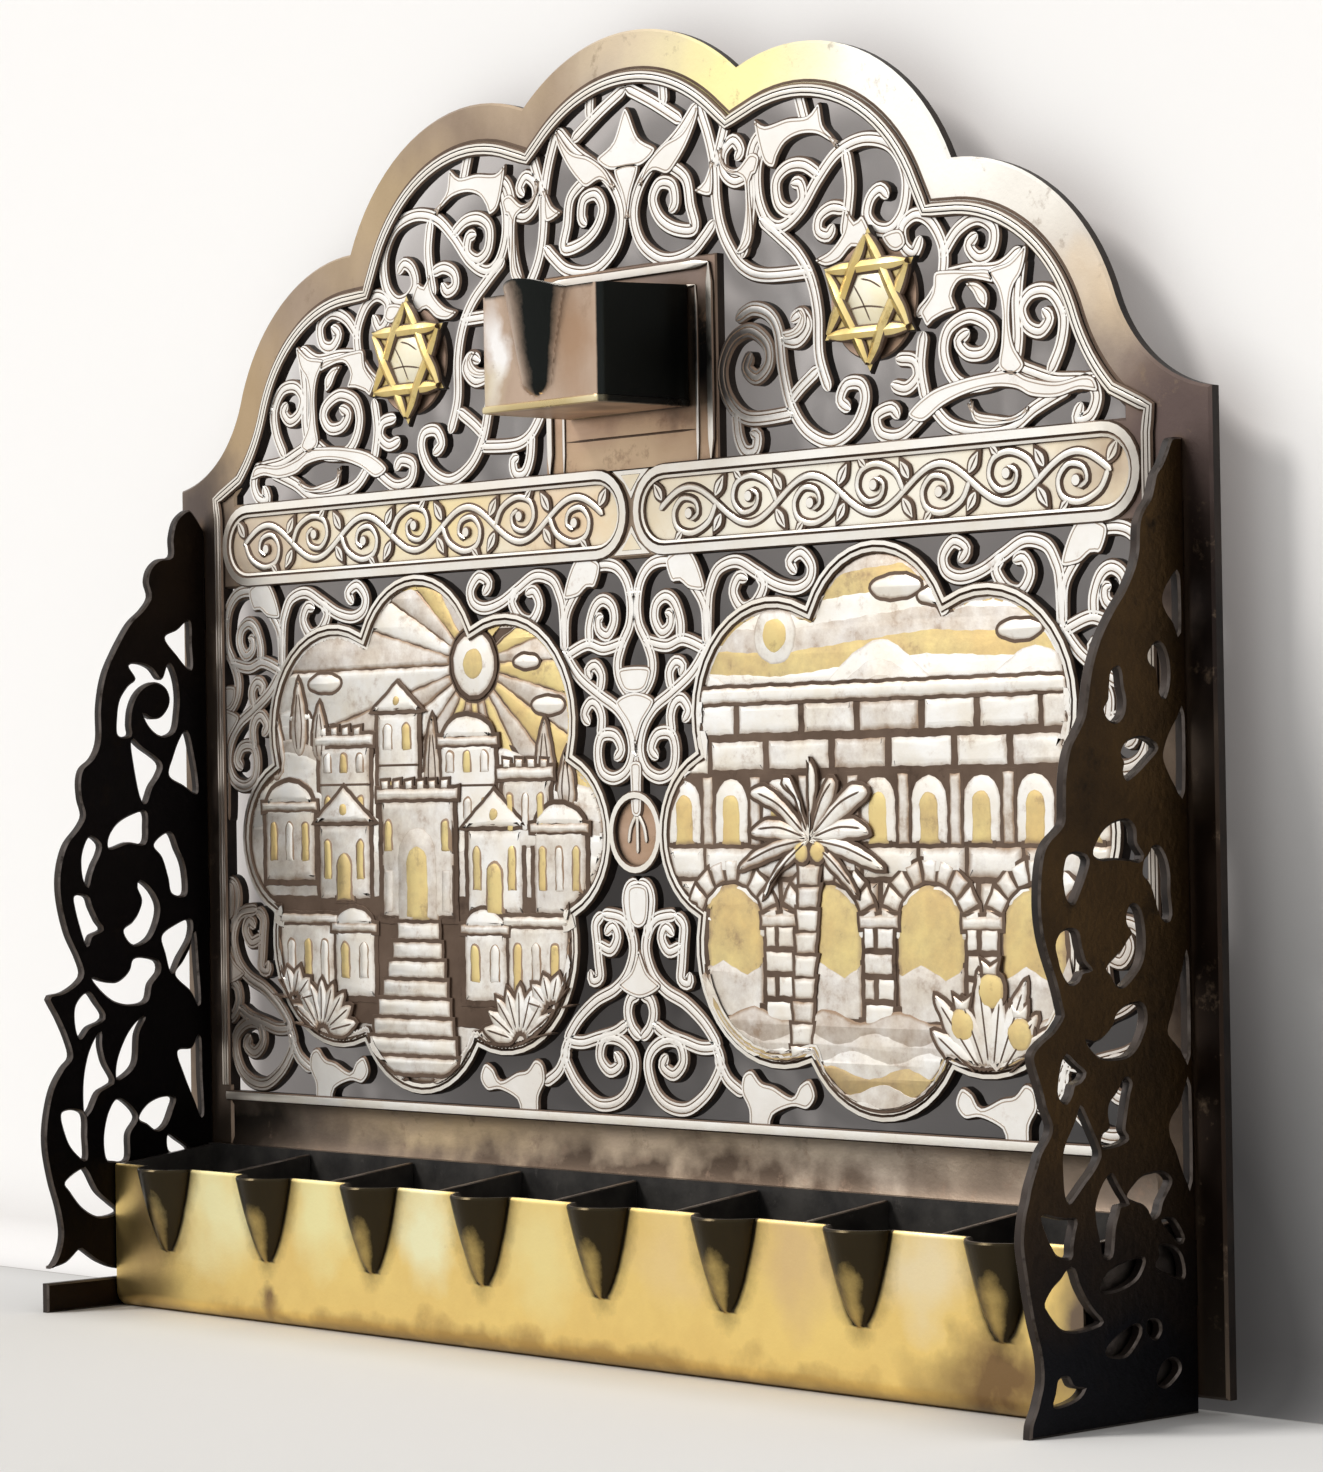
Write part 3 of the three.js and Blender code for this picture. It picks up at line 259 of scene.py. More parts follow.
# The near-white patch on the right band is a painted highlight; the bands' ends are darker and the left
# band has yellow and orange patches.
GOLD = metal("gold_field", (0.90, 0.82, 0.66), (0.84, 0.70, 0.48), (0.60, 0.42, 0.26), 0.9, (0.3, 0.45),
             crevice=(0.24, 0.15, 0.09), crevice_mm=0.7, stain_at=(0.62, 0.84), blobs=(
                 (45, 127, 46, 16, 0.8, (0.97, 0.94, 0.84)), (-96, 127, 22, 10, 0.6, (0.50, 0.37, 0.28)),
                 (97, 128, 12, 8, 0.7, (0.40, 0.29, 0.21)), (-48, 129, 20, 10, 0.7, (0.92, 0.74, 0.36)),
                 (-16, 127, 14, 9, 0.6, (0.80, 0.56, 0.34))))
STAR = metal("star_gold", (0.72, 0.52, 0.17), (0.84, 0.68, 0.32), (0.42, 0.27, 0.08), 0.95, (0.25, 0.4),
             crevice=(0.14, 0.08, 0.03), crevice_mm=1.2)
STAR_HEART = metal("star_heart", (0.95, 0.90, 0.74), (0.90, 0.80, 0.54), (0.8, 0.66, 0.3), 0.9, (0.25, 0.4))
TAN = (0.36, 0.25, 0.17)
# The reliefs' tint layer holds a random brown tint for each cell and a painted shade along each cell's
# edge.
RELIEF = metal("relief_pale", (0.98, 0.96, 0.92), (0.88, 0.82, 0.72), (0.56, 0.44, 0.34), 0.88, (0.3, 0.45),
               crevice=(0.16, 0.10, 0.07), crevice_mm=1.3, stain_at=(0.58, 0.8), patch=120, tint_and_shade=0.9,
               tint_and_shade_colour=TAN)
RELIEF_GOLD = metal("relief_gold", (0.86, 0.70, 0.32), (0.78, 0.58, 0.26), (0.42, 0.28, 0.14), 0.92,
                    (0.3, 0.45), crevice=(0.18, 0.10, 0.05), crevice_mm=1.0, tint_and_shade=0.9, tint_and_shade_colour=TAN)
# The light patches along the cove's top are painted highlights; the dark band along its foot and the dark
# ends beside the panels are painted shade.
COVE = metal("cove_satin", (0.56, 0.44, 0.33), (0.48, 0.37, 0.29), (0.26, 0.18, 0.13), 0.95, (0.35, 0.5),
             stretch=(0.25, 1, 1.5), blobs=(
                 (-100, 29, 34, 12, 1.0, (0.035, 0.028, 0.022)), (-44, 31, 38, 6, 0.5, (0.70, 0.52, 0.27)),
                 (14, 31, 36, 6, 0.6, (0.74, 0.60, 0.46)), (44, 31, 26, 6, 0.4, (0.80, 0.72, 0.60)),
                 (4, 29, 50, 9, 0.5, (0.66, 0.52, 0.36)), (104, 29, 36, 12, 0.85, (0.15, 0.115, 0.09)),
                 (0, 25.0, 150, 7.5, 1.0, (0.10, 0.07, 0.05))))
# The pale yellow patches on the front are painted highlights and the darker band along the bottom is
# painted shade; the front is also browner at the left end and right of the middle, darker at the right end,
# and stained low down.
TROUGH = metal("trough_gold", (0.94, 0.70, 0.25), (0.86, 0.62, 0.22), (0.58, 0.38, 0.15), 0.96, (0.26, 0.4),
               stain_at=(0.66, 0.9), tint_and_shade=0.5, tint_and_shade_colour=(0.034, 0.026, 0.014), blobs=(
                   (-98, 14, 12, 22, 0.75, (0.34, 0.22, 0.10)), (-80, 18, 12, 13, 0.9, (0.96, 0.90, 0.52)),
                   (-53, 19, 10, 12, 0.8, (0.97, 0.92, 0.50)), (-27, 18, 9, 13, 0.9, (0.97, 0.95, 0.62)),
                   (0, 16, 9, 14, 0.5, (0.95, 0.86, 0.44)), (27, 18, 9, 10, 0.35, (0.82, 0.62, 0.40)),
                   (54, 18, 10, 12, 0.5, (0.66, 0.46, 0.30)), (80, 19, 10, 9, 0.5, (0.92, 0.86, 0.70)),
                   (93, 5, 20, 7, 0.9, (0.16, 0.09, 0.05)), (109, 14, 8, 15, 0.95, (0.15, 0.11, 0.09)),
                   (-66, 2.5, 4, 3.5, 0.9, (0.20, 0.12, 0.07)),
                   (0, 0, 150, 4, 0.75, (0.42, 0.27, 0.10))))
# Bright cream gold: a painted highlight line along the trough's rim and the cup's top edge; the cup's bead
# is made of it too.
LIP = metal("lip_bright", (0.96, 0.88, 0.60), (0.85, 0.74, 0.5), (0.5, 0.38, 0.22), 0.92, (0.22, 0.35),
            tint_and_shade=0.4, blobs=((0, 143, 22, 9, 1.0, (0.56, 0.44, 0.22)),))
# Near black for the insides of the trough, its dividers and the cup: soot, with painted shade in the deep
# wells.
SOOT_AND_SHADE = metal("tint_and_shade", (0.018, 0.016, 0.015), (0.05, 0.045, 0.04), (0.10, 0.09, 0.08), 0.5, (0.45, 0.65),
             patch=160, stain_at=(0.62, 0.8))
# The near-black patches are painted shade: over the left panel's inner face and at the right panel's foot
# by the plate.
PANEL = metal("panel_dark", (0.062, 0.036, 0.015), (0.034, 0.021, 0.011), (0.012, 0.009, 0.007), 1.0,
              (0.35, 0.55), bump=0.8, patch=70, grain=700, crevice=(0.004, 0.003, 0.003), crevice_mm=1.4,
              blobs=((-112, 60, 44, 160, 1.0, (0.008, 0.007, 0.0075)),
                     (110, 0, 10, 44, 1.0, (0.010, 0.010, 0.012))))
# Grey brown, lighter than the dark faces: a painted highlight along the edges of the panels and dividers,
# darkened on the right panel as painted shade; the trough's ends and back are made of it too.
PANEL_EDGE = metal("panel_edge", (0.15, 0.13, 0.12), (0.07, 0.055, 0.045), (0.02, 0.016, 0.013), 1.0,
                   (0.3, 0.5), patch=160, stain_at=(0.5, 0.7),
                   blobs=((112, 60, 30, 120, 0.4, (0.045, 0.034, 0.026)),))
# The near-white streak left of the spout and the light patch below it are painted highlights; right of the
# spout the face is browner.
CUP = metal("cup_satin", (0.46, 0.33, 0.24), (0.56, 0.42, 0.32), (0.36, 0.24, 0.16), 0.95, (0.26, 0.4),
            stretch=(1, 1, 0.3), tint_and_shade=0.6, tint_and_shade_colour=(0.015, 0.017, 0.016), blobs=(
                (-10.6, 151, 3.4, 11, 0.95, (0.96, 0.93, 0.90)), (8, 152, 6, 12, 0.7, (0.40, 0.24, 0.14)),
                (-13, 145, 7, 5, 0.5, (0.74, 0.64, 0.42))))


# Mesh building

class Build:
    """Gathers closed pieces in mm and makes one object of them."""

    def __init__(self, name, *mats):
        self.name, self.mats = name, mats
        self.verts, self.faces, self.slots, self.tint_and_shade = [], [], [], []

    def add(self, verts, faces, slots, tint_and_shade=None):
        start = len(self.verts)
        self.verts += verts
        self.faces += [tuple(start + i for i in f) for f in faces]
        self.slots += slots if isinstance(slots, list) else [slots] * len(faces)
        self.tint_and_shade += tint_and_shade if tint_and_shade else [0.0] * len(verts)

    def make(self, node=None, slot=None, smooth_deg=35, move=(0, 0, 0)):
        dx, dy, dz = move
        mesh = bpy.data.meshes.new(self.name)
        mesh.from_pydata([((x + dx) * MM, (y + dy + PLATE_Y) * MM, (z + dz) * MM)
                          for x, y, z in self.verts], [], self.faces)
        for mat in self.mats:
            mesh.materials.append(mat)
        mesh.polygons.foreach_set("material_index", self.slots)
        mesh.polygons.foreach_set("use_smooth", [True] * len(mesh.polygons))
        mesh.attributes.new("tint_and_shade", "FLOAT", "POINT").data.foreach_set("value", self.tint_and_shade)
        turned = bmesh.new()
        turned.from_mesh(mesh)
        bmesh.ops.recalc_face_normals(turned, faces=turned.faces)
        turned.to_mesh(mesh)
        turned.free()
        mesh.set_sharp_from_angle(angle=math.radians(smooth_deg))
        obj = bpy.data.objects.new(self.name, mesh)
        bpy.context.collection.objects.link(obj)
        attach(obj, "root")
        if node:
            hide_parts(node)
        return obj


def catmull(points, step=0.6, closed=False):
    """A smooth line through the points, with all their further values carried along."""
    count = len(points)
    out = []
    for i in range(count if closed else count - 1):
        if closed:
            p = [points[(i + k) % count] for k in (-1, 0, 1, 2)]
        else:
            p = [points[max(0, min(count - 1, i + k))] for k in (-1, 0, 1, 2)]
        steps = max(1, round(math.dist(p[1][:2], p[2][:2]) / step))
        for k in range(steps):
            t = k / steps
            out.append(tuple(
                0.5 * (2 * b + (c - a) * t + (2 * a - 5 * b + 4 * c - d) * t * t
                       + (3 * b - a - 3 * c + d) * t ** 3)
                for a, b, c, d in zip(*p)))
    if not closed:
        out.append(tuple(points[-1]))
    return out


def area(loop):
    return sum(a[0] * b[1] - b[0] * a[1] for a, b in zip(loop, loop[1:] + loop[:1])) / 2


def counter(loop):
    loop = list(loop)
    return loop if area(loop) > 0 else loop[::-1]


def offset(loop, distance):
    """A counter-clockwise closed loop moved inwards by the distance."""
    out = []
    count = len(loop)
    for i, (x, z) in enumerate(loop):
        ax, az = loop[i - 1]
        bx, bz = loop[(i + 1) % count]
        n1, n2 = Vector((az - z, x - ax)), Vector((z - bz, bx - x))
        if n1.length < 1e-9:
            n1 = n2
        if n2.length < 1e-9:
            n2 = n1
        n1, n2 = n1.normalized(), n2.normalized()
        mean = (n1 + n2).normalized() if (n1 + n2).length > 1e-6 else n1
        reach = distance / max(mean.dot(n1), 0.5)
        out.append((x + mean.x * reach, z + mean.y * reach))
    return out


def stitch(build, rings, slots, tint_and_shade=None):
    """Walls between closed rings of equal length, from the first ring to the last."""
    count = len(rings[0])
    faces, mats = [], []
    for k in range(len(rings) - 1):
        for i in range(count):
            j = (i + 1) % count
            faces.append((k * count + i, k * count + j, (k + 1) * count + j, (k + 1) * count + i))
            mats.append(slots[k])
    build.add([v for ring in rings for v in ring], faces, mats, tint_and_shade)


def flat_faces(loops):
    """The triangles that fill an outline and leave its holes, counter-clockwise."""
    flat = [Vector((a, b, 0)) for loop in loops for a, b in loop]
    faces = []
    for a, b, c in tessellate_polygon([[Vector((p, q, 0)) for p, q in loop] for loop in loops]):
        ccw = (flat[b] - flat[a]).cross(flat[c] - flat[a]).z > 0
        faces.append((a, b, c) if ccw else (a, c, b))
    return faces


def closed_sheet(build, place, outer, holes, front, back, chamfer, slots, tones=(0.0, 0.0)):
    """A flat piece with its holes as one closed body; slots: face, chamfer, wall, back.

    The chamfer is one size, or how far it reaches in and how deep it goes.
    """
    top, edge, side, rear = slots
    chamfer, deep = chamfer if isinstance(chamfer, tuple) else (chamfer, chamfer)
    step = deep if back > front else -deep
    loops = [counter(outer)] + [counter(hole) for hole in holes]
    small = [offset(loops[0], chamfer)] + [offset(hole, -chamfer) for hole in loops[1:]]
    verts, faces, mats, tint_and_shade = [], [], [], []
    starts = []
    for loop, inner in zip(loops, small):
        count = len(loop)
        start = len(verts)
        starts.append((start, count))
        verts += [place(a, b, back) for a, b in loop]
        verts += [place(a, b, front + step) for a, b in loop]
        verts += [place(a, b, front) for a, b in inner]
        tint_and_shade += [tones[0]] * (2 * count) + [tones[1]] * count
        for k, slot in ((0, side), (1, edge)):
            for i in range(count):
                j = (i + 1) % count
                low, high = start + k * count, start + (k + 1) * count
                faces.append((low + i, low + j, high + j, high + i))
                mats.append(slot)
    for level, source, slot in ((2, small, top), (0, loops, rear)):
        index = [s + level * c + i for s, c in starts for i in range(c)]
        for a, b, c in flat_faces(source):
            faces.append((index[a], index[b], index[c]))
            mats.append(slot)
    build.add(verts, faces, mats, tint_and_shade)


DARK = (1, 1, 1, 1)
BACKS = itertools.cycle(PLATE_BACK - 0.02 * k for k in (2, 3, 4, 5, 6, 7, 8, 9, 1))


def own_back():
    """The back of the next piece: overlapping pieces never share one plane."""
    return next(BACKS)


def sheet(build, outer, holes=(), front=0.0, back=None, chamfer=0.25, slots=(0, 1, 1, 1), tones=(0.0, 0.0)):
    """A flat piece that faces the front."""
    back = own_back() if back is None else back
    closed_sheet(build, lambda a, b, y: (a, y, b), outer, holes, front, back, chamfer, slots, tones)


def sheet_x(build, outer, holes, front, back, chamfer, slots=(0, 1, 1, 0)):
    """A flat piece drawn as (y, z) that stands between two places in x."""
    closed_sheet(build, lambda a, b, x: (x, a, b), outer, holes, front, back, chamfer, slots)


EDGE, GROOVE_AT, GROOVE_WIDE, GROOVE_DEEP = 0.3, 0.34, 0.22, 0.22


def ribbon_section(half, front, back, crown, grooved):
    """Places (across, y) and the slots between them: 0 face, 1 wall, 2 edge, 3 back, 4 groove."""
    share = min(1.0, half / 1.15)
    edge, at, wide = EDGE * share, GROOVE_AT * share, GROOVE_WIDE * share
    left = [(-half, back), (-half, front + edge), (edge - half, front)]
    slots = [1, 2]
    if grooved:
        x = edge + at - half
        left += [(x, front), (x + wide / 2, front + GROOVE_DEEP * share), (x + wide, front)]
        slots += [0, 4, 4]
    slots += [0]
    right = [(-x, y) for x, y in left[::-1]]
    return left + [(0, front - crown)] + right, slots + slots[::-1] + [3]


def ribbon(build, points, width=2.4, front=0.0, back=None, crown=0.08, step=0.5, grooved=True,
           round_ends=(True, True), slots=(0, 1, 2, 3)):
    """A raised band along (x, z), (x, z, width) or (x, z, width, front) points."""
    back = own_back() if back is None else back
    line = catmull([(*p, width, front)[:4] if len(p) == 2 else (*p, front)[:4] for p in points], step)
    gone = [0]
    for a, b in zip(line, line[1:]):
        gone.append(gone[-1] + math.dist(a[:2], b[:2]))
    verts, faces, mats = [], [], []
    slots = (*slots, slots[2])[:5]
    for i, (x, z, w, y0) in enumerate(line):
        a, b = line[max(0, i - 1)], line[min(len(line) - 1, i + 1)]
        tx, tz = b[0] - a[0], b[1] - a[1]
        size = math.hypot(tx, tz) or 1
        half = max(w, 0.3) / 2
        for rounded, far in ((round_ends[0], gone[i]), (round_ends[1], gone[-1] - gone[i])):
            if rounded and far < half:
                half *= math.sqrt(max(0.03, 1 - (1 - far / half) ** 2))
        section, marks = ribbon_section(half, y0, back, crown, grooved)
        verts += [(x - tz / size * s, y, z + tx / size * s) for s, y in section]
    count = len(section)
    for i in range(len(line) - 1):
        for k in range(count):
            a, b = i * count + k, i * count + (k + 1) % count
            faces.append((a, b, b + count, a + count))
            mats.append(slots[marks[k]])
    last = (len(line) - 1) * count
    faces += [tuple(range(count)), tuple(last + k for k in range(count))]
    build.add(verts, faces, mats + [slots[1]] * 2)


def ring(build, loop, profile, slots):
    """A closed ring: the profile holds (inset from the loop, y), from its outer foot to its inner foot."""
    loop = counter(loop)
    rings = [[(x, y, z) for x, z in (offset(loop, inset) if inset else loop)] for inset, y in profile]
    stitch(build, rings + rings[:1], slots)


def corners(x0, x1, z0, z1):
    return [(x0, z0), (x1, z0), (x1, z1), (x0, z1)]


def block(build, x0, x1, y0, y1, z0, z1, slots=(0, 1, 1, 1)):
    sheet(build, corners(x0, x1, z0, z1), (), y0, y1, 0.15, slots)


def arc(a, m, b, steps):
    """Points along the arc from a to b through m, without b."""
    ax, az, mx, mz, bx, bz = *a, *m, *b
    d = 2 * (ax * (mz - bz) + mx * (bz - az) + bx * (az - mz))
    sa, sm, sb = ax * ax + az * az, mx * mx + mz * mz, bx * bx + bz * bz
    cx = (sa * (mz - bz) + sm * (bz - az) + sb * (az - mz)) / d
    cz = (sa * (bx - mx) + sm * (ax - bx) + sb * (mx - ax)) / d
    r = math.hypot(ax - cx, az - cz)
    t0, t1 = math.atan2(az - cz, ax - cx), math.atan2(bz - cz, bx - cx)
    sign = 1 if (mx - ax) * (bz - az) - (mz - az) * (bx - ax) > 0 else -1
    sweep = sign * (((t1 - t0) * sign) % (2 * math.pi))
    return [polar(r, t0 + sweep * i / steps, cx, cz) for i in range(steps)]


def polar(r, angle, x=0.0, z=0.0):
    return x + r * math.cos(angle), z + r * math.sin(angle)


def disc(x, z, r, steps=40):
    return [polar(r, 2 * math.pi * i / steps, x, z) for i in range(steps)]


def oval(x, z, rx, rz):
    return [(x + rx * a, z + rz * b) for a, b in disc(0, 0, 1, 28)]


def leaf_loop(x, z, angle, length, width, half, step):
    """A leaf from its foot at (x, z); half holds shares of its length and of its half width."""
    shape = [(a * length, b * width / 2) for a, b in half]
    shape += [(a, -b) for a, b in shape[-2:0:-1]]
    c, s = math.cos(angle), math.sin(angle)
    return [(x + a * c - b * s, z + a * s + b * c) for a, b in catmull(shape, step, True)]


# Scrollwork, as thousandths of 100 mm across and of the field's height

def traced(text, unit=1):
    """Lines written as x,z pairs, with a semicolon between two lines."""
    return [[tuple(float(v) / unit for v in pair.split(",")) for pair in line.split()]
            for line in text.split(";")]


UPPER_VINES = traced("""
160,530 117,490 62,455 27,420 13,380 27,338 62,311 100,303 142,311 170,330 194,352; 90,448 130,422 140,380
148,345 108,348 73,367 57,397 72,420 100,415 106,388 94,375; 160,530 182,478 194,430 196,385 204,345
222,310 252,277 300,260 400,257; 250,290 267,338 272,380 270,422 280,455 302,472; 270,412 238,405 214,422
213,450 235,466 251,450 240,436; 556,345 540,360 520,350 512,325 530,305 560,302 585,325 593,365 580,400
553,425 505,435 455,423 414,390 375,348 335,328 305,340 287,376 286,420 302,460; 418,392 385,412 350,413
326,395 330,362 355,348 380,362 376,386 357,388; 470,425 478,380 475,345 465,300; 470,338 440,344 415,333
412,313 432,305 445,320; 290,345 335,312 370,283 395,245 408,195 410,133 430,80; 235,200 270,213 305,203
325,175 333,120 350,65 383,25 433,6 480,25 502,60 495,85 465,87 452,65 473,50; 345,70 370,90 410,115;
330,165 365,158 388,178 375,197 352,188; 356,54 260,53 215,85 203,130 225,170 265,182 300,160 303,130
278,112 255,128 268,150; 232,70 236,30 250,6 272,6 277,26 262,32; 620,285 605,262 585,275 583,302 610,316
640,302 662,265 660,225 640,195 610,172; 658,250 690,285 730,298 760,280 755,250 730,243 712,262 730,276;
660,223 710,227 770,225 812,248; 812,240 803,180 803,120 790,85 750,68 700,67 672,87 660,120 672,150
710,163 745,150 755,130 738,110 707,111 690,130 712,142; 860,70 883,110 888,150 865,182 830,185 810,165
820,140 845,130 862,146 850,160; 920,27 910,4 935,8 947,34 930,55 870,62 820,78 785,90 745,70 683,61
639,51 608,26 570,6 533,12 525,37 555,46 570,30; 633,48 670,14 730,0 790,3 835,26 900,50; 622,150 614,100
624,50; 565,115 600,110 608,88 585,72 555,80; 0,574 60,545 125,508; 85,535 82,585; 900,50 945,60; 888,150
915,165; 730,297 750,330; 593,365 620,385; 390,470 370,530; 195,430 222,500
""", 1000)
UPPER_LEAVES = traced("""
192,445 172,415 150,400 190,390; 0,545 30,497 68,474 40,452 0,450 -40,452 -68,474 -30,497; -28,455 28,455
12,410 0,370 -12,410; 282,491 307,480 353,485 395,484 420,499 429,466 445,450 461,429 437,440 412,452
378,455 349,447 332,429 324,414 303,422 290,450; 24,420 46,455 84,480 126,494 160,530 163,512 141,474
113,444 92,431 61,439 38,425; 616,179 639,204 645,231 672,233 714,229 754,224 761,204 739,208 714,213
694,211 682,194 691,173 668,169 643,161 630,153 620,166; 748,223 790,233 820,253 825,242 815,213 798,192
792,154 798,117 817,86 794,71 766,86 771,121 773,163 766,194; 704,210 729,210 750,192 746,169 729,178
718,194; 588,36 634,65 697,78 756,83 794,83 824,70 874,60 923,65 946,59 951,38 916,42 874,35 828,40 798,53
756,58 706,53 660,40 618,20; 208,462 220,434 244,425 273,444 294,435 286,410 274,400 277,321 256,296
237,300 257,329 259,394 249,409 224,417 205,437; 405,272 437,284 464,308 473,339 489,321 506,327 523,294
504,276 483,281 458,264 427,259; 542,294 580,300 592,277 575,266 556,272; 332,175 357,179 370,192 360,204
378,208 389,192 384,173 366,162 339,160; 710,48 724,30 756,23 790,19 824,31 811,11 756,5 716,15
""", 1000)
LOWER_VINES = traced("""
161,715 158,769 135,804 99,838 70,846 38,840 16,818 7,785 10,752 27,724 39,695 36,670 20,650 0,643; 20,726
70,716 110,724 162,706; 102,722 103,751 90,781 70,791 50,780 46,757 61,737 80,745 82,762 70,766; 165,716
129,675 82,645 41,622 16,592 8,557 22,528 52,516 80,527 88,557 78,582 48,582 34,560 50,545; 82,577 78,610
88,630 104,634 118,616 105,600; 82,648 77,675 91,691 107,684 100,670; 0,357 20,350 28,330 22,295 18,270;
85,308 41,302 20,281 14,251 29,216 58,192 99,175 135,151 158,128 166,112 135,108 99,116 58,126 28,142;
80,308 99,293 97,263 94,234 92,210 109,205 112,222; 96,262 66,252 50,272 60,289 78,276; 0,185 21,179
29,158 20,134 0,118; 164,116 176,86 160,56 135,32 99,14 58,18 29,39 15,75 24,100 52,116 85,114 94,86 72,66
48,78 60,96; 168,100 190,63 226,42; 161,700 164,775 172,804 190,828 229,836 270,818 311,798 352,790
380,800 386,822 365,842 341,830 355,812; 270,818 285,798 266,772 238,766 220,790 232,812 252,808; 8,557
0,550; 16,800 0,800
""", 1000)
LOWER_LEAVES = traced("""
75,850 130,860 162,800 128,797 105,810 85,812; -34,686 34,686 34,662 18,646 -18,646 -34,662; -45,634 0,650
45,634 18,598 0,565 -18,598; -13,540 13,540 14,505 11,460 -11,460 -14,505; -22,350 22,350 22,300 0,285
-22,300; 0,255 20,222 50,198 0,178 -50,198 -20,222; 220,45 225,72 245,80 265,63 290,58 328,44 345,62
367,70 380,45 362,24 330,26 290,12 280,-10 240,-10 235,20
""", 1000)


# The backplate

SHOULDER, BAND_LOW, BAND_HIGH = 137.6, 120.2, 134.3
SIDE_BAND, FIELD_LOW = 12.0, 35.0
FIELD_HALF = PLATE_HALF - SIDE_BAND
CROWN_STEPS = 20
RIM_WIDTH, LINE_WIDTH = 6.2, 2.2
MED_X, MED_Z, MED_W, MED_H, FRAME_WIDTH = 51.9, 78.3, 46.6, 42.1, 2.1
STAR_X, STAR_Z = 52.3, 154.9
PAD_HALF, PAD_TOP, STAR_PAD, EYE_HALF, EYE_TALL = 19.6, 165.0, 8.8, 6.0, 6.4
SPEAR_FOOT, SPEAR_TIP, SPEAR_HALF, SPEAR_WAIST, SPEAR_POINT = 0.4, 5.2, 4.6, 1.7, 0.2
COVE_LOW, COVE_HIGH = 26.0, 33.4


def crown_right():
    """From the right shoulder over the flare and two lobes to half of the middle lobe."""
    flare, notch_low, notch_high, steps = (98.2, 151.2), (67.9, 173.6), (24.2, 192.2), CROWN_STEPS
    return (arc((PLATE_HALF, SHOULDER), (104.2, 142.6), flare, steps)
            + arc(flare, (88.6, 165.6), notch_low, steps)
            + arc(notch_low, (52.5, 190.2), notch_high, steps)
            + arc(notch_high, (0, CROWN), (-24.2, 192.2), 2 * steps)[:steps + 1])


def plate_outline():
    right = crown_right()[::-1]
    left = [(-x, z) for x, z in right[1:]][::-1]
    return counter([(-PLATE_HALF, PLATE_FOOT)] + left + right + [(PLATE_HALF, PLATE_FOOT)])


OUTLINE = plate_outline()


def upper_window():
    """The crown's opening: inside the rim and its line, above the bands."""
    inner = [p for p in offset(OUTLINE, RIM_WIDTH + LINE_WIDTH - 0.3)
             if p[1] > BAND_HIGH + 1 and abs(p[0]) < FIELD_HALF]
    inner.sort(key=lambda p: -p[0])
    right = inner[0][0]
    return [(-right, BAND_HIGH), (right, BAND_HIGH)] + inner


def stadium(x0, x1, z0, z1):
    r = (z1 - z0) / 2
    return (arc((x1 - r, z0), (x1, z0 + r), (x1 - r, z1), 14) + [(x1 - r, z1)]
            + arc((x0 + r, z1), (x0, z0 + r), (x0 + r, z0), 14) + [(x0 + r, z0)])


def resample(points, step):
    out = []
    for a, b in zip(points, points[1:]):
        steps = max(1, round(math.dist(a, b) / step))
        out += [(a[0] + (b[0] - a[0]) * k / steps, a[1] + (b[1] - a[1]) * k / steps) for k in range(steps)]
    return out + [points[-1]]


def crown_path(inset):
    """The line that follows the rim's inner side, from the left foot over the crown to the right foot."""
    side = FIELD_HALF + 1.0
    inner = sorted(p for p in offset(OUTLINE, inset) if p[1] > SHOULDER)
    right = [(side, 36.0), (side, 132.0), (side + 0.5, 135.4)]
    left = [(-x, z) for x, z in right]
    return resample(left + [p for p in inner if abs(p[0]) < side + 0.4] + right[::-1], 1.5)


def make_rim():
    rim = Build("plate_rim", RIM, WALL, LINE, BACK)
    low = corners(-FIELD_HALF, FIELD_HALF, FIELD_LOW, BAND_LOW)
    cove = corners(-FIELD_HALF, FIELD_HALF, COVE_LOW + 0.4, COVE_HIGH)
    fields = [[(side * x, z) for x, z in stadium(2.2, FIELD_HALF - 1.6, BAND_LOW + 1.6, BAND_HIGH - 1.6)]
              for side in (-1, 1)]
    sheet(rim, OUTLINE, [upper_window(), low, cove, *fields], back=PLATE_BACK, chamfer=0.4,
          slots=(0, 0, 1, 3))
    rim.make("backplate", "plate_brass")


def make_lines():
    lines = Build("plate_lines", LINE, WALL, GROOVE, BACK)
    ribbon(lines, crown_path(RIM_WIDTH + LINE_WIDTH / 2), LINE_WIDTH, -LINE_RAISE, 0.5,
           round_ends=(False, False), step=1.5)
    ribbon(lines, [(-FIELD_HALF - 1, 34.2), (FIELD_HALF + 1, 34.2)], 1.7, -0.5, 0.5, step=4,
           round_ends=(False, False), grooved=False)
    lines.make(None, "plate_brass")
    groove = Build("plate_groove", GROOVE)
    ribbon(groove, crown_path(RIM_WIDTH - 0.35), 0.5, -0.03, 0.2, crown=0, round_ends=(False, False),
           step=1.5, grooved=False, slots=(0, 0, 0, 0))
    groove.make(None, "plate_brass")


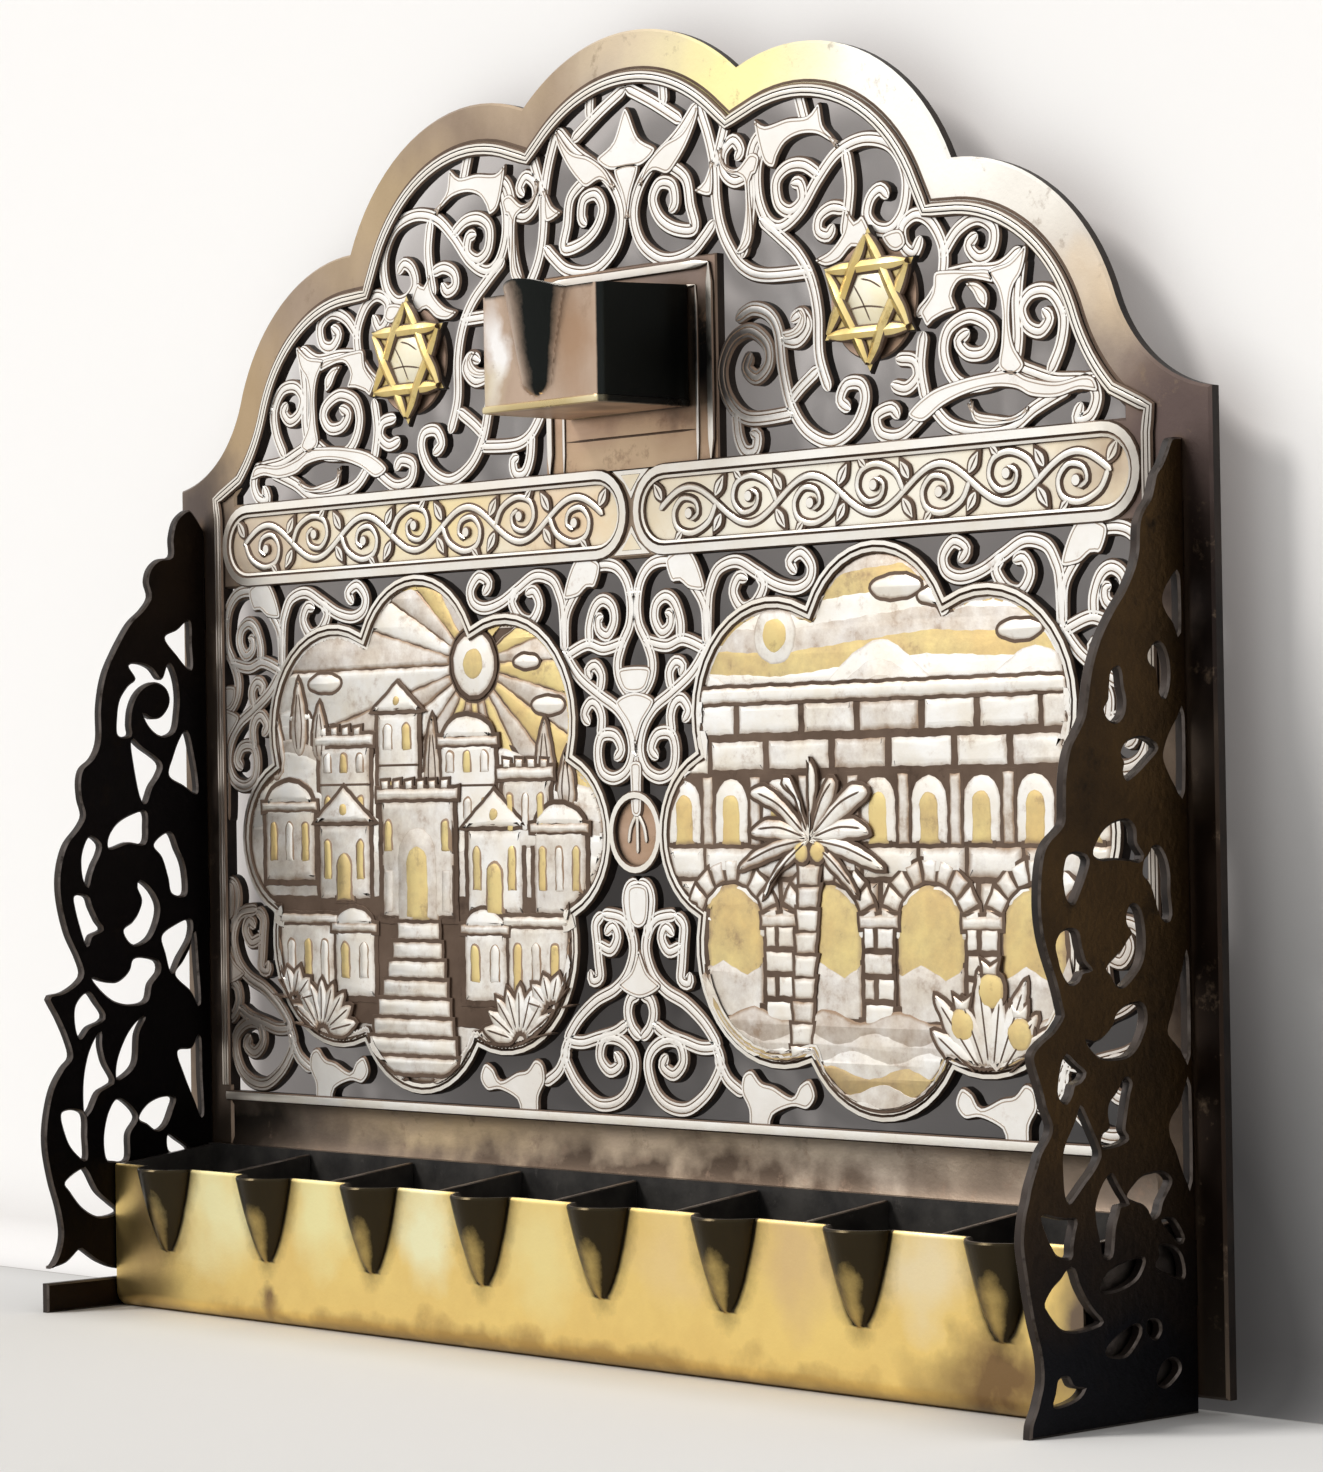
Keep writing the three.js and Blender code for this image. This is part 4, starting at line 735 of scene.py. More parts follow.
def make_cove():
    cove = Build("plate_cove", COVE, BACK)
    profile = [(COVE_HIGH + 0.2, PLATE_BACK), (COVE_HIGH + 0.2, 0.02), (32.6, 0.4), (31.4, 0.62),
               (29.6, 0.7), (27.9, 0.55), (26.7, 0.28), (COVE_LOW, 0.0), (COVE_LOW, PLATE_BACK)]
    half = FIELD_HALF + 0.2
    count, steps = len(profile), 40
    verts = [(-half + 2 * half * i / steps, y, z) for i in range(steps + 1) for z, y in profile]
    faces = [(a + k, a + count + k, a + count + (k + 1) % count, a + (k + 1) % count)
             for a in range(0, steps * count, count) for k in range(count)]
    faces += [tuple(range(count)), tuple(steps * count + k for k in range(count))]
    cove.add(verts, faces, ([0] * (count - 1) + [1]) * steps + [1, 1])
    cove.make(None, "plate_brass", 50)


def make_pads():
    pads = Build("plate_pads", PAD, WALL, GROOVE, BACK, LINE, GOLD)
    slots = (0, 2, 1, 3)
    sheet(pads, corners(-FIELD_HALF, FIELD_HALF, BAND_LOW + 1, BAND_HIGH - 1), (), 0.45, slots=slots)
    for foot, tip in ((BAND_LOW + SPEAR_FOOT, BAND_LOW + SPEAR_TIP),
                      (BAND_HIGH - SPEAR_FOOT, BAND_HIGH - SPEAR_TIP)):
        middle = (foot + tip) / 2
        sheet(pads, [(-SPEAR_HALF, foot), (SPEAR_HALF, foot), (SPEAR_WAIST, middle), (SPEAR_POINT, tip),
                     (-SPEAR_POINT, tip), (-SPEAR_WAIST, middle)], (), -0.1, chamfer=0.3,
              slots=(4, 2, 1, 3))
        sheet(pads, [(-2.4, foot + (tip - foot) * 0.16), (2.4, foot + (tip - foot) * 0.16),
                     (0, tip - (tip - foot) * 0.25)], (), -0.16, chamfer=0.15, slots=(5, 2, 1, 3))
    sheet(pads, corners(-PAD_HALF, PAD_HALF, BAND_HIGH - 1, PAD_TOP), (), 0.0, slots=slots)
    for side in (-1, 1):
        sheet(pads, disc(side * STAR_X, STAR_Z, STAR_PAD), (), 0.12, slots=slots)
    sheet(pads, oval(0, MED_Z, EYE_HALF - 0.2, EYE_TALL - 0.4), (), 0.3, slots=slots)
    pads.make(None, "plate_brass")
    eye = Build("eye_motif", LINE, WALL, GROOVE, BACK)
    ring(eye, oval(0, MED_Z, EYE_HALF, EYE_TALL), [
        (0, 0.6), (0, -0.25), (0.2, -0.5), (1.1, -0.5), (1.3, -0.2), (1.3, 0.6)], [1, 2, 0, 2, 1, 3])
    for points in ([(0, -3.2), (0, 3.4)], [(0, 3.0), (-1.5, 0.8), (-2.0, -1.6)],
                   [(0, 3.0), (1.5, 0.8), (2.0, -1.6)]):
        ribbon(eye, [(x, MED_Z + z) for x, z in points], 0.8, 0.08, 0.5, grooved=False)
    eye.make(None, "plate_brass")
    border = Build("pad_border", LINE, WALL, GROOVE, BACK)
    for inset, width, raised in ((1.3, 1.5, -0.45), (4.4, 0.7, -0.22)):
        half, top = PAD_HALF - inset, PAD_TOP - inset
        for foot, end, front in (((-half, BAND_HIGH), (-half, top), raised),
                                 ((half, BAND_HIGH), (half, top), raised),
                                 ((-half, top), (half, top), raised - 0.02)):
            ribbon(border, [foot, end], width, front, 0.3, step=4, grooved=False)
    half, z = PAD_HALF - 5, BAND_HIGH + 4.6
    ribbon(border, [(-half, z), (half, z)], 0.4, -0.04, 0.3, step=4, grooved=False, slots=(2, 2, 2, 2))
    border.make(None, "plate_brass")


def upper(points):
    return [(x * 100, BAND_HIGH + z * (CROWN - BAND_HIGH) / 0.66) for x, z in points]


def lower(points):
    return [(x * 100, FIELD_LOW + z * (BAND_LOW - FIELD_LOW) / 0.852) for x, z in points]


def across(points):
    """The same line on the far side of the medallion."""
    return [(2 * MED_X - x, z) for x, z in points]


VINE_WIDTH, VINE_REACH = 2.55, FIELD_HALF + 0.8


def on_side(side, points):
    """The line on one side of the plate, kept within the field."""
    return [(max(-VINE_REACH, min(VINE_REACH, side * x)), z) for x, z in points]


def make_vines():
    sets = (("vines_upper", [upper(s) for s in UPPER_VINES], [upper(s) for s in UPPER_LEAVES]),
            ("vines_lower", [f(lower(s)) for s in LOWER_VINES for f in (list, across)],
             [f(lower(s)) for s in LOWER_LEAVES for f in (list, across)]))
    for name, strokes, leaves in sets:
        vines = Build(name, VINE, WALL, GROOVE, BACK, VINE_GROOVE)
        for k, stroke in enumerate(strokes):
            for side in (1, -1):
                ribbon(vines, on_side(side, stroke), VINE_WIDTH, 0.1 + 0.015 * (k % 3),
                       slots=(0, 1, 2, 3, 4))
        for leaf in leaves:
            middle = abs(sum(p[0] for p in leaf)) < 0.1
            for side in (1,) if middle else (1, -1):
                loop = counter(catmull(on_side(side, leaf), 0.7, True))
                sheet(vines, loop, (), -0.06, chamfer=0.3, slots=(0, 2, 1, 3))
                ring(vines, loop, [(0.62, 0.1), (0.62, -0.08), (0.8, -0.08), (0.8, 0.1)], [4, 4, 4, 4])
        vines.make(None, "plate_brass")


# The medallions and their reliefs

# Corners and middles of the eight lobes, as shares of half the medallion's width and height
LOBES = ((-.302, .79), (0, 1), (.302, .79), (.742, .69), (.82, .29), (1, 0), (.82, -.31),
         (.735, -.69), (.31, -.81), (0, -1), (-.31, -.81), (-.735, -.69), (-.82, -.31), (-1, 0),
         (-.82, .29), (-.742, .69))


def med_outline(shrink=0.0, steps=14):
    points = [(x * MED_W, z * MED_H) for x, z in LOBES + LOBES[:1]]
    loop = counter([p for k in range(0, len(LOBES), 2) for p in arc(*points[k:k + 3], steps)])
    return offset(loop, shrink) if shrink else loop


def reach_table(shrink):
    """How far the medallion's outline lies from its middle, for each degree."""
    loop = med_outline(shrink, 30)
    table = [0.0] * 360
    for (ax, az), (bx, bz) in zip(loop, loop[1:] + loop[:1]):
        first = math.degrees(math.atan2(az, ax))
        sweep = (math.degrees(math.atan2(bz, bx)) - first + 180) % 360 - 180
        for degree in range(math.ceil(first), math.floor(first + sweep) + 1):
            t = (degree - first) / sweep
            table[degree % 360] = math.hypot(ax + (bx - ax) * t, az + (bz - az) * t)
    return table


REACH = reach_table(FRAME_WIDTH - 0.1)
WOBBLE, CELL_LINE, LAYER = 0.07, 0.52, 0.0006
RING_BACK, RING_SLOTS = PLATE_BACK - 0.22, [1, 2, 0, 2, 2, 0, 2, 1, 3]


class Relief:
    """A low relief inside one medallion: most cells have a dark line round them, painted shade in the step
    round the cell.
    """

    def __init__(self, name):
        self.build = Build(name, RELIEF, GROOVE, RELIEF_GOLD, BACK)
        self.count = 0

    def clip(self, points):
        loop = resample(list(points) + [points[0]], 0.9)[:-1]
        out = []
        for x, z in loop:
            r = math.hypot(x, z)
            limit = REACH[round(math.degrees(math.atan2(z, x))) % 360]
            share = min(1.0, limit / r) if r > 0 else 1.0
            out.append((x * share, z * share))
        kept = [p for p, q in zip(out, out[1:] + out[:1]) if math.dist(p, q) > 0.12]
        return counter(kept) if len(kept) > 3 and abs(area(kept)) > 0.8 else None

    def by_hand(self, loop):
        """The small unevenness of a line cut by hand."""
        k = self.count
        return [(x + WOBBLE * math.sin(0.83 * z + 1.7 * k) + WOBBLE * math.sin(2.3 * z + x),
                 z + WOBBLE * math.sin(0.71 * x + 2.9 * k) + WOBBLE * math.sin(2.1 * x - z))
                for x, z in loop]

    def cell(self, points, level, slot=0, line=CELL_LINE, soft=0.6, tone=None):
        """A raised shape; soft is how far its brown edge, a painted shade that rounds it off, reaches in;
        tone how brown its face is.
        """
        loop = self.clip(self.by_hand(resample(list(points) + [points[0]], 1.1)[:-1]))
        if not loop:
            return
        around = sum(math.dist(p, q) for p, q in zip(loop, loop[1:] + loop[:1]))
        soft = min(soft, 0.75 * abs(area(loop)) / around)
        self.count += 1
        tone = 0.3 * (self.count * 0.618 % 1) if tone is None else tone
        front = -level - LAYER * self.count
        # The dark line: a dark sheet laid under the cell, painted shade in the step round it.
        if line:
            sheet(self.build, offset(loop, -line), (), front + 0.16, 0.6, 0.05, slots=DARK)
        # The rings round the face get 0.6 more tint than the face: painted shade along the cell's edge.
        sheet(self.build, loop, (), front, 0.6, (soft, min(0.3, 0.12 + 0.12 * soft)), (slot, slot, 1, 1),
              (tone + 0.6, tone))

    def rect(self, x, z, w, h, level, **more):
        """A block with its foot's middle at (x, z)."""
        self.cell(corners(x - w / 2, x + w / 2, z, z + h), level, **more)

    def arch(self, x, z, w, h, level, slot=2, **more):
        r = w / 2
        top = arc((x + r, z + h - r), (x, z + h), (x - r, z + h - r), 8)
        self.cell([(x - r, z), (x + r, z)] + top + [(x - r, z + h - r)], level, slot, **more)

    def cut(self, points, level, width=0.36):
        """An engraved line."""
        self.count += 1
        ribbon(self.build, points, width, -level - LAYER * self.count, 0.3, 0, 0.8, False, slots=DARK)

    def hill(self, curve, level, strips=4, pitch=2.2, tone=0.1):
        """Terraces that follow a hill's outline, given from left to right."""
        line = catmull(curve, 1.2)
        for k in range(strips):
            top = [(x, z - k * pitch) for x, z in line]
            bottom = [(x, z - 60) for x, z in line]
            self.cell(top + bottom[::-1], level + 0.03 * k, soft=0.9, tone=tone + 0.16 * (k % 3))

    def cypress(self, x, z, h, w, level):
        half = [(0.18, 0), (0.75, 0.12), (1, 0.32), (0.82, 0.58), (0.42, 0.84), (0, 1)]
        loop = [(x + a * w / 2, z + b * h) for a, b in half]
        loop += [(x - a * w / 2, z + b * h) for a, b in half[-2::-1]]
        self.cell(catmull(loop, 0.8, True), level, soft=0.6, tone=0.4)
        for side in (-1, 1):
            self.cut([(x + side * 0.1 * w, z + 0.1 * h), (x + side * 0.2 * w, z + 0.4 * h),
                      (x + side * 0.06 * w, z + 0.8 * h)], level + 0.05, 0.28)

    def leaf(self, x, z, angle, length, width, level):
        half = [(0, 0), (0.25, 0.8), (0.55, 1), (0.82, 0.55), (1, 0)]
        self.cell(leaf_loop(x, z, angle, length, width, half, 0.8), level, soft=0.5)
        self.cut([polar(a * length, angle, x, z) for a in (0.12, 0.85)], level + 0.05, 0.26)

    def tuft(self, x, z, spread, count, sizes, width, level, start):
        """Leaves that fan out from one foot, from the angle start to its mirror image."""
        for k in range(count):
            t = math.pi * (start + (1 - 2 * start) * k / (count - 1))
            self.leaf(x + spread[0] * math.cos(t), z + spread[1] * math.sin(t), t, sizes[k % 2], width,
                      level + 0.006 * k)

    def window(self, x, z, w, h, level, gold):
        self.arch(x, z, w + 0.7, h + 0.35, level, 0, tone=0.9, line=0.3)
        self.arch(x, z + 0.2, w - 0.3, h - 0.3, level + 0.05, 2 if gold else 0, line=0.2, soft=0.35)

    def house(self, x, z, w, h, level, roof, windows=2, door=False, rows=1, tone=None):
        self.rect(x, z, w, h, level, soft=1.3, tone=tone)
        top = z + h
        if roof == "flat":
            self.rect(x, top - 0.4, w + 1.6, 1.8, level + 0.1)
            for k in range(int(w // 3)):
                self.rect(x - w / 2 + 1.5 + 3 * k, top + 1.3, 1.6, 1.3, level + 0.05)
        elif roof == "plain":
            self.rect(x, top - 0.6, w + 1.4, 1.5, level + 0.1)
        elif roof == "gable":
            self.cell([(x - w / 2 - 1, top), (x + w / 2 + 1, top), (x, top + 0.42 * w)], level + 0.12,
                      soft=0.7)
            self.cell(disc(x, top + 0.15 * w, 0.09 * w, 12), level + 0.2, 2)
        else:
            r = w / 2 - 0.5
            bow = [polar(r, math.pi * k / 16) for k in range(17)]
            self.cell([(x + a, top + 0.62 * b) for a, b in bow], level + 0.1, soft=1.3, tone=0.0)
            self.rect(x, top - 0.9, w + 0.8, 1.4, level + 0.14, tone=0.25)
        tall = h / rows
        for row in range(rows):
            foot = z + row * tall
            pitch = w / (windows + 0.3) if windows else 0
            if row:
                self.cut([(x - w / 2 + 0.3, foot + 0.2), (x + w / 2 - 0.3, foot + 0.2)], level + 0.04, 0.4)
            for k in range(windows):
                if door and row == 0 and abs(k - (windows - 1) / 2) < 0.6:
                    continue
                self.window(x + (k - (windows - 1) / 2) * pitch, foot + 0.26 * tall, min(2.9, 0.56 * pitch),
                            0.54 * tall, level + 0.05, (k + row) % 2 == 0)
        if door:
            self.window(x, z, 0.3 * w, 0.62 * tall, level + 0.08, True)

    def stones(self, x0, x1, z0, courses, height, length, level, soft=1.1):
        """Courses of blocks, each one shifted by half a block from the one below."""
        for row in range(courses):
            z = z0 + row * height
            x = x0 - (length / 2 if row % 2 else 0)
            k = 0
            while x < x1 - 0.4:
                size = length * (0.86 + 0.3 * ((k * 7 + row * 5) % 5) / 5)
                a, b = max(x, x0), min(x + size, x1)
                if b - a > 1.3:
                    self.cell(corners(a + 0.28, b - 0.28, z + 0.26, z + height - 0.26), level, line=0,
                              soft=soft, tone=0.3 * ((k * 5 + row * 3) % 4) / 3)
                x += size
                k += 1

    def ground(self, x0, x1, z0, z1, level):
        """The dark joint colour that lies under a run of stones."""
        self.cell(corners(x0, x1, z0, z1), level, 1, line=0.2, soft=0.1)


def hill_village(r):
    """A sunlit hill town: terraces, cypresses, arched houses, a gate with steps, and two bushes."""
    sun_x, sun_z = 14.0, 27.0
    rays = 26
    for k in range(rays):
        a0, a1 = 2 * math.pi * k / rays, 2 * math.pi * (k + 1) / rays
        near, far = 6.2, 80
        gilt = k % 2 and math.cos(a0) > -0.6
        ray = [polar(reach, a, sun_x, sun_z) for reach, a in ((near, a0), (far, a0), (far, a1), (near, a1))]
        r.cell(ray, 0.0, 2 if gilt else 0, line=0.2, tone=0.15 if gilt else 0.42 - 0.3 * (k % 2))
    r.cell(disc(sun_x, sun_z, 5.2, 28), 0.12, soft=0.8)
    r.cell(disc(sun_x, sun_z, 3.0, 20), 0.2, 2, soft=0.9)
    for x, z, w in ((-24, 25, 4.2), (-31, 19.5, 3.0), (32, 20, 3.8), (27, 27, 3.0)):
        r.cell(oval(x, z, w, 0.36 * w), 0.2, soft=0.5, tone=0.0)
    r.hill([(-50, 13), (-36, 21), (-22, 18), (-8, 12), (6, 9)], 0.1)
    r.hill([(-10, 8), (8, 15), (24, 13), (38, 8), (50, 6)], 0.14)
    r.hill([(-50, 6), (-34, 9), (-16, 5), (0, 1), (20, 5), (50, -2)], 0.26, 3, 2.8, 0.0)
    for x, z, h in ((-37, 9, 11), (-31, 13, 13), (-25.5, 12, 10), (31, 6, 12), (36, 3, 10), (3.6, 4, 15)):
        r.cypress(x, z, h, 4.4, 0.3)
    r.house(-19, 1, 14, 14, 0.34, "flat", 3, rows=2)
    r.house(-5, 2, 11, 18, 0.36, "gable", 2, rows=2)
    r.house(12.5, 0, 14, 15, 0.36, "dome", 3, rows=2)
    r.house(26.5, -3, 12, 12, 0.38, "flat", 3)
    r.house(-33.5, -8, 14, 13, 0.46, "dome", 3, tone=0.3)
    r.house(-19, -11, 14, 13, 0.48, "gable", 3, True)
    r.house(19, -13, 14, 14, 0.48, "gable", 3, True)
    r.house(34.5, -13, 13, 14, 0.46, "dome", 3)
    r.ground(-46, 46, -31, -10, 0.3)
    r.house(-31, -29, 19, 15, 0.54, "plain", 4, tone=0.25)
    r.house(31, -29, 19, 15, 0.54, "plain", 4)
    r.house(-16.5, -27, 11, 12, 0.56, "dome", 2)
    r.house(16.5, -27, 11, 12, 0.56, "dome", 2)
    r.house(0, -14, 19, 20, 0.6, "flat", 0)
    r.arch(0, -14, 10.4, 15.5, 0.66, 0, tone=0.35)
    r.arch(0, -14, 6.4, 12.6, 0.72, soft=0.8)
    for side in (-1, 1):
        r.window(side * 7.2, -3, 2.4, 5.5, 0.66, True)
        r.rect(side * 7.2, -13, 2.8, 7.5, 0.66, tone=0.3)
    for k in range(8):
        r.rect(-0.3 * k, -17.0 - 3.1 * k, 10.5 + 1.9 * k, 2.7, 0.74 + 0.02 * k, soft=0.6,
               tone=0.1 + 0.1 * (k % 2))
    r.hill([(-50, -27), (-34, -27.5), (-20, -30), (-10, -39)], 0.66, 3, 2.6, 0.25)
    r.hill([(8, -39), (16, -31), (30, -28), (50, -27)], 0.66, 3, 2.6, 0.25)
    for x, z, count, size in ((-25, -32.5, 9, 7.4), (25, -32.5, 9, 7.4), (-32.5, -27.5, 6, 4.6),
                              (32.5, -27.5, 6, 4.6)):
        r.tuft(x, z, (1.6, 1.2), count, (size, size), 3.0, 0.92, 0.06)


def aqueduct(r):
    """Two rows of stone arches over a stream, with a palm and a pomegranate bush in front."""
    for k in range(8):
        z = 42 - 3.4 * k
        r.cell([(-50, z), (-20, z - 1.6), (10, z + 0.8), (50, z - 1.2), (50, z - 8), (-50, z - 8)],
               0.0 + 0.01 * k, 2 if k % 3 == 1 else 0, line=0.25, tone=(0.4, 0.3, 0.05)[k % 3])
    r.cell(disc(-21, 29, 4.8, 28), 0.14, soft=0.8)
    r.cell(disc(-21, 29, 2.9, 20), 0.2, 2)
    for x, z, w in ((4, 35, 5.0), (12, 33.4, 3.6), (28, 28, 4.2)):
        r.cell(oval(x, z, w, 0.34 * w), 0.2, soft=0.5, tone=0.0)
    r.hill([(-50, 16), (-36, 24), (-20, 17), (0, 28), (16, 20), (32, 26), (50, 15)], 0.16, 3, 2.4, 0.1)
    r.ground(-50, 50, -32, 19, 0.26)
    r.stones(-46, 46, 8.6, 2, 5.4, 12.5, 0.42)
    r.rect(0, 19.2, 92, 2.2, 0.5, soft=0.5, tone=0.1)
    for k in range(-4, 5):
        x = 10.2 * k
        r.arch(x, -2.0, 7.6, 10.2, 0.36, 0, tone=0.1, soft=0.8)
        r.arch(x, -2.0, 4.4, 8.0, 0.44, 2, soft=0.7)
        r.rect(x + 5.1, -2.0, 2.2, 10.2, 0.42, tone=0.3)
    r.stones(-46, 46, -7.0, 1, 4.9, 11, 0.46)
    spans = (-30.6, -10.2, 10.2, 30.6)
    r.stones(-46, 46, -16.6, 2, 4.8, 10.5, 0.42)
    for x in spans:
        r.arch(x, -28, 14.4, 21.0, 0.5, 2, tone=0.25, soft=1.6)
        r.cell([(x - 6.6, -28), (x - 6.6, -20.5), (x - 2, -18.4), (x + 3, -20.6), (x + 6.6, -19),
                (x + 6.6, -28)], 0.54, soft=0.8, tone=0.3)
        for k in range(9):
            a0, a1 = math.pi * k / 9 + 0.03, math.pi * (k + 1) / 9 - 0.03
            r.cell([polar(d, a, x, -14.2) for d, a in ((7.0, a0), (10.1, a0), (10.1, a1), (7.0, a1))], 0.58,
                   soft=0.5)
    for x in (-40.8, -20.4, 0, 20.4, 40.8):
        r.ground(x - 3.4, x + 3.4, -29, -13.6, 0.5)
        r.stones(x - 3.3, x + 3.3, -28.4, 4, 3.7, 7.4, 0.6, 0.5)
        r.rect(x, -14.0, 7.8, 1.9, 0.66)
    for k in range(7):
        z = -26.5 - 2.7 * k
        wave = [(x, z + 0.9 * math.sin(x * 0.42 + k * 1.9)) for x in range(-48, 49, 2)]
        r.cell(wave + [(48, z - 14), (-48, z - 14)], 0.66 + 0.02 * k, 2 if k == 3 else 0, soft=0.9,
               tone=0.5 - 0.15 * (k % 3))
    for k in range(11):
        x, z = -16.5 + 0.28 * k, -38 + 3.35 * k
        r.cell([(x - 1.9, z), (x + 1.9, z), (x + 2.5, z + 3.1), (x - 2.1, z + 3.1)], 0.84, soft=0.6)
    for k in range(11):
        t = math.pi * (-0.22 + 1.44 * k / 10)
        x, z = -13.6, -1.0
        length = 15.5 if k % 2 else 12.5
        c, s = polar(length, t)
        droop = [(x, z), (x + 0.35 * c, z + 0.35 * s + 1.2), (x + 0.75 * c, z + 0.72 * s + 0.8),
                 (x + c, z + 0.86 * s - 1.6),
                 (x + 0.62 * c + 1.5 * math.sin(t), z + 0.52 * s - 1.7 * abs(math.cos(t)) + 0.2),
                 (x + 0.25 * c, z + 0.2 * s - 1.0)]
        r.cell(catmull(droop, 0.8, True), 0.88 + 0.008 * k, soft=0.5)
        r.cut([(x + 0.1 * c, z + 0.1 * s), (x + 0.5 * c, z + 0.48 * s + 0.3),
               (x + 0.86 * c, z + 0.76 * s - 0.6)], 0.96 + 0.008 * k, 0.28)
    for side in (-1, 1):
        r.cell(disc(-13.6 + side * 1.7, -3.0, 1.6, 14), 1.0, 2)
    r.tuft(22, -36, (2.4, 2), 8, (14.5, 11.5), 3.8, 0.84, 0.19)
    for x, z in ((16.5, -27.5), (27.5, -28.5), (22, -22.5)):
        r.cell(disc(x, z, 2.7, 18), 0.94, 2, soft=0.8)
        crown = ((-1.2, 2.2), (1.2, 2.2), (1.6, 4.2), (0, 3.2), (-1.6, 4.2))
        r.cell([(x + a, z + b) for a, b in crown], 0.96)


def make_medallions():
    for side, name, picture in ((-1, "left", hill_village), (1, "right", aqueduct)):
        frame_ring = Build("medallion_frame_" + name, LINE, WALL, GROOVE, BACK)
        ring(frame_ring, med_outline(), [
            (0, RING_BACK), (0, -0.1), (0.25, -0.5), (0.85, -0.55), (1.05, -0.2), (1.25, -0.5),
            (1.8, -0.45), (FRAME_WIDTH, -0.05), (FRAME_WIDTH, RING_BACK)], RING_SLOTS)
        frame_ring.make(None, "plate_brass", 40, (side * MED_X, 0, MED_Z))
        relief = Relief("medallion_relief_" + name)
        sheet(relief.build, med_outline(FRAME_WIDTH - 0.3), (), 0.35, None, 0.2, slots=(1, 1, 1, 3))
        picture(relief)
        relief.build.make("medallion_" + name, "plaque_brass", 35, (side * MED_X, 0, MED_Z))


# The two long bands, with a running leaf scroll

def make_bands():
    for side, name in ((-1, "left"), (1, "right")):
        band_ring = Build("band_frame_" + name, LINE, WALL, GROOVE, BACK)
        loop = [(side * x, z) for x, z in stadium(0.6, FIELD_HALF, BAND_LOW, BAND_HIGH)]
        ring(band_ring, loop, [
            (0, RING_BACK), (0, -0.1), (0.25, -0.5), (1.5, -0.58), (1.72, -0.25), (1.9, -0.4), (2.3, -0.3),
            (2.45, 0), (2.45, RING_BACK)], RING_SLOTS)
        band_ring.make(None, "plate_brass", 40)
        scroll = Build("band_relief_" + name, GOLD, GROOVE, LINE, BACK)
        field = [(side * x, z) for x, z in stadium(2.6, FIELD_HALF - 2, BAND_LOW + 2, BAND_HIGH - 2)]
        sheet(scroll, field, (), 0.12, None, 0.15, slots=(0, 1, 1, 3))
        running_scroll(scroll, side)
        scroll.make("band_plaque_" + name, "gilt_brass")


def outlined(build, points, width, front):
    """A raised line of bright metal with a dark line each side of it."""
    thin = [(p[0], p[1], (p[2] if len(p) > 2 else width)) for p in points]
    ribbon(build, [(x, z, w + 0.62) for x, z, w in thin], front=front + 0.16, back=0.4, crown=0,
           grooved=False, slots=DARK, step=0.7)
    ribbon(build, thin, front=front, back=0.4, crown=0.1, grooved=False, slots=(2, 1, 1, 1), step=0.7)


def outlined_leaf(build, x, z, angle, length, width, front):
    half = [(0, 0), (0.22, 0.75), (0.5, 1), (0.8, 0.5), (1, 0)]
    loop = counter(leaf_loop(x, z, angle, length, width, half, 0.6))
    sheet(build, offset(loop, -0.3), (), front + 0.16, 0.4, 0.05, slots=DARK)
    sheet(build, loop, (), front, 0.4, 0.18, slots=(2, 1, 1, 1))
    ribbon(build, [polar(a * length, angle, x, z) for a in (0.15, 0.8)], 0.24, front - 0.03, 0.3, 0, 0.8,
           False, slots=DARK)


CURL = ((5.7, 0.3), (4.2, -2.4), (0.8, -3.9), (-2.3, -3.1), (-3.1, -0.6), (-1.3, 1.4), (1.3, 0.9),
        (1.9, -1.0), (0.4, -1.9))
CURL_PITCH = 12.4


def running_scroll(build, side):
    """A wavy stem from end to end of the band, with a curl in each of its hollows and leaves outside."""
    middle, high = (BAND_LOW + BAND_HIGH) / 2, 3.1
    start, end, waves = 6.4, FIELD_HALF - 5.6, 7
    pitch = (end - start) / waves
    fold = pitch / CURL_PITCH

    def place(x, z):
        return side * x, middle + z

    stem = [place(start + t * pitch / 6, high * math.sin(t * math.pi / 6)) for t in range(6 * waves + 1)]
    outlined(build, stem, 1.15, -0.16)
    for k in range(waves):
        up = -1 if k % 2 else 1
        x = start + (k + 0.5) * pitch
        curl = [(*place(x + a * fold, up * b), 1.15 - 0.045 * i) for i, (a, b) in enumerate(CURL)]
        outlined(build, curl, 1.1, -0.22)
        sheet(build, disc(*place(x + 0.1, up * -0.9), 0.95, 14), (), -0.36, 0.3, 0.2, slots=(2, 1, 1, 1))
        for reach, turn, size in ((5.6, 1.0, 3.9), (-5.4, math.pi - 1.0, 3.6)):
            x0, z0 = place(x + reach * fold, up * 1.2)
            angle = up * turn
            outlined_leaf(build, x0, z0, angle if side > 0 else math.pi - angle, size, 1.9, -0.3)
        outlined_leaf(build, *place(x - 1.2, up * -3.4), -up * 2.4 if side > 0 else math.pi + up * 2.4, 2.6,
                      1.5, -0.3)


# Six-pointed stars of interlaced double bars

STAR_REACH, STAR_INWARD = 10.8, 0.88
# How far each bar stands out along its length: it passes over one bar and under the next
STAR_BAR = ((0.02, -1.25), (0.18, -1.3), (0.33, -1.5), (0.5, -1.4), (0.67, -1.25), (0.82, -1.3),
            (0.98, -1.25))


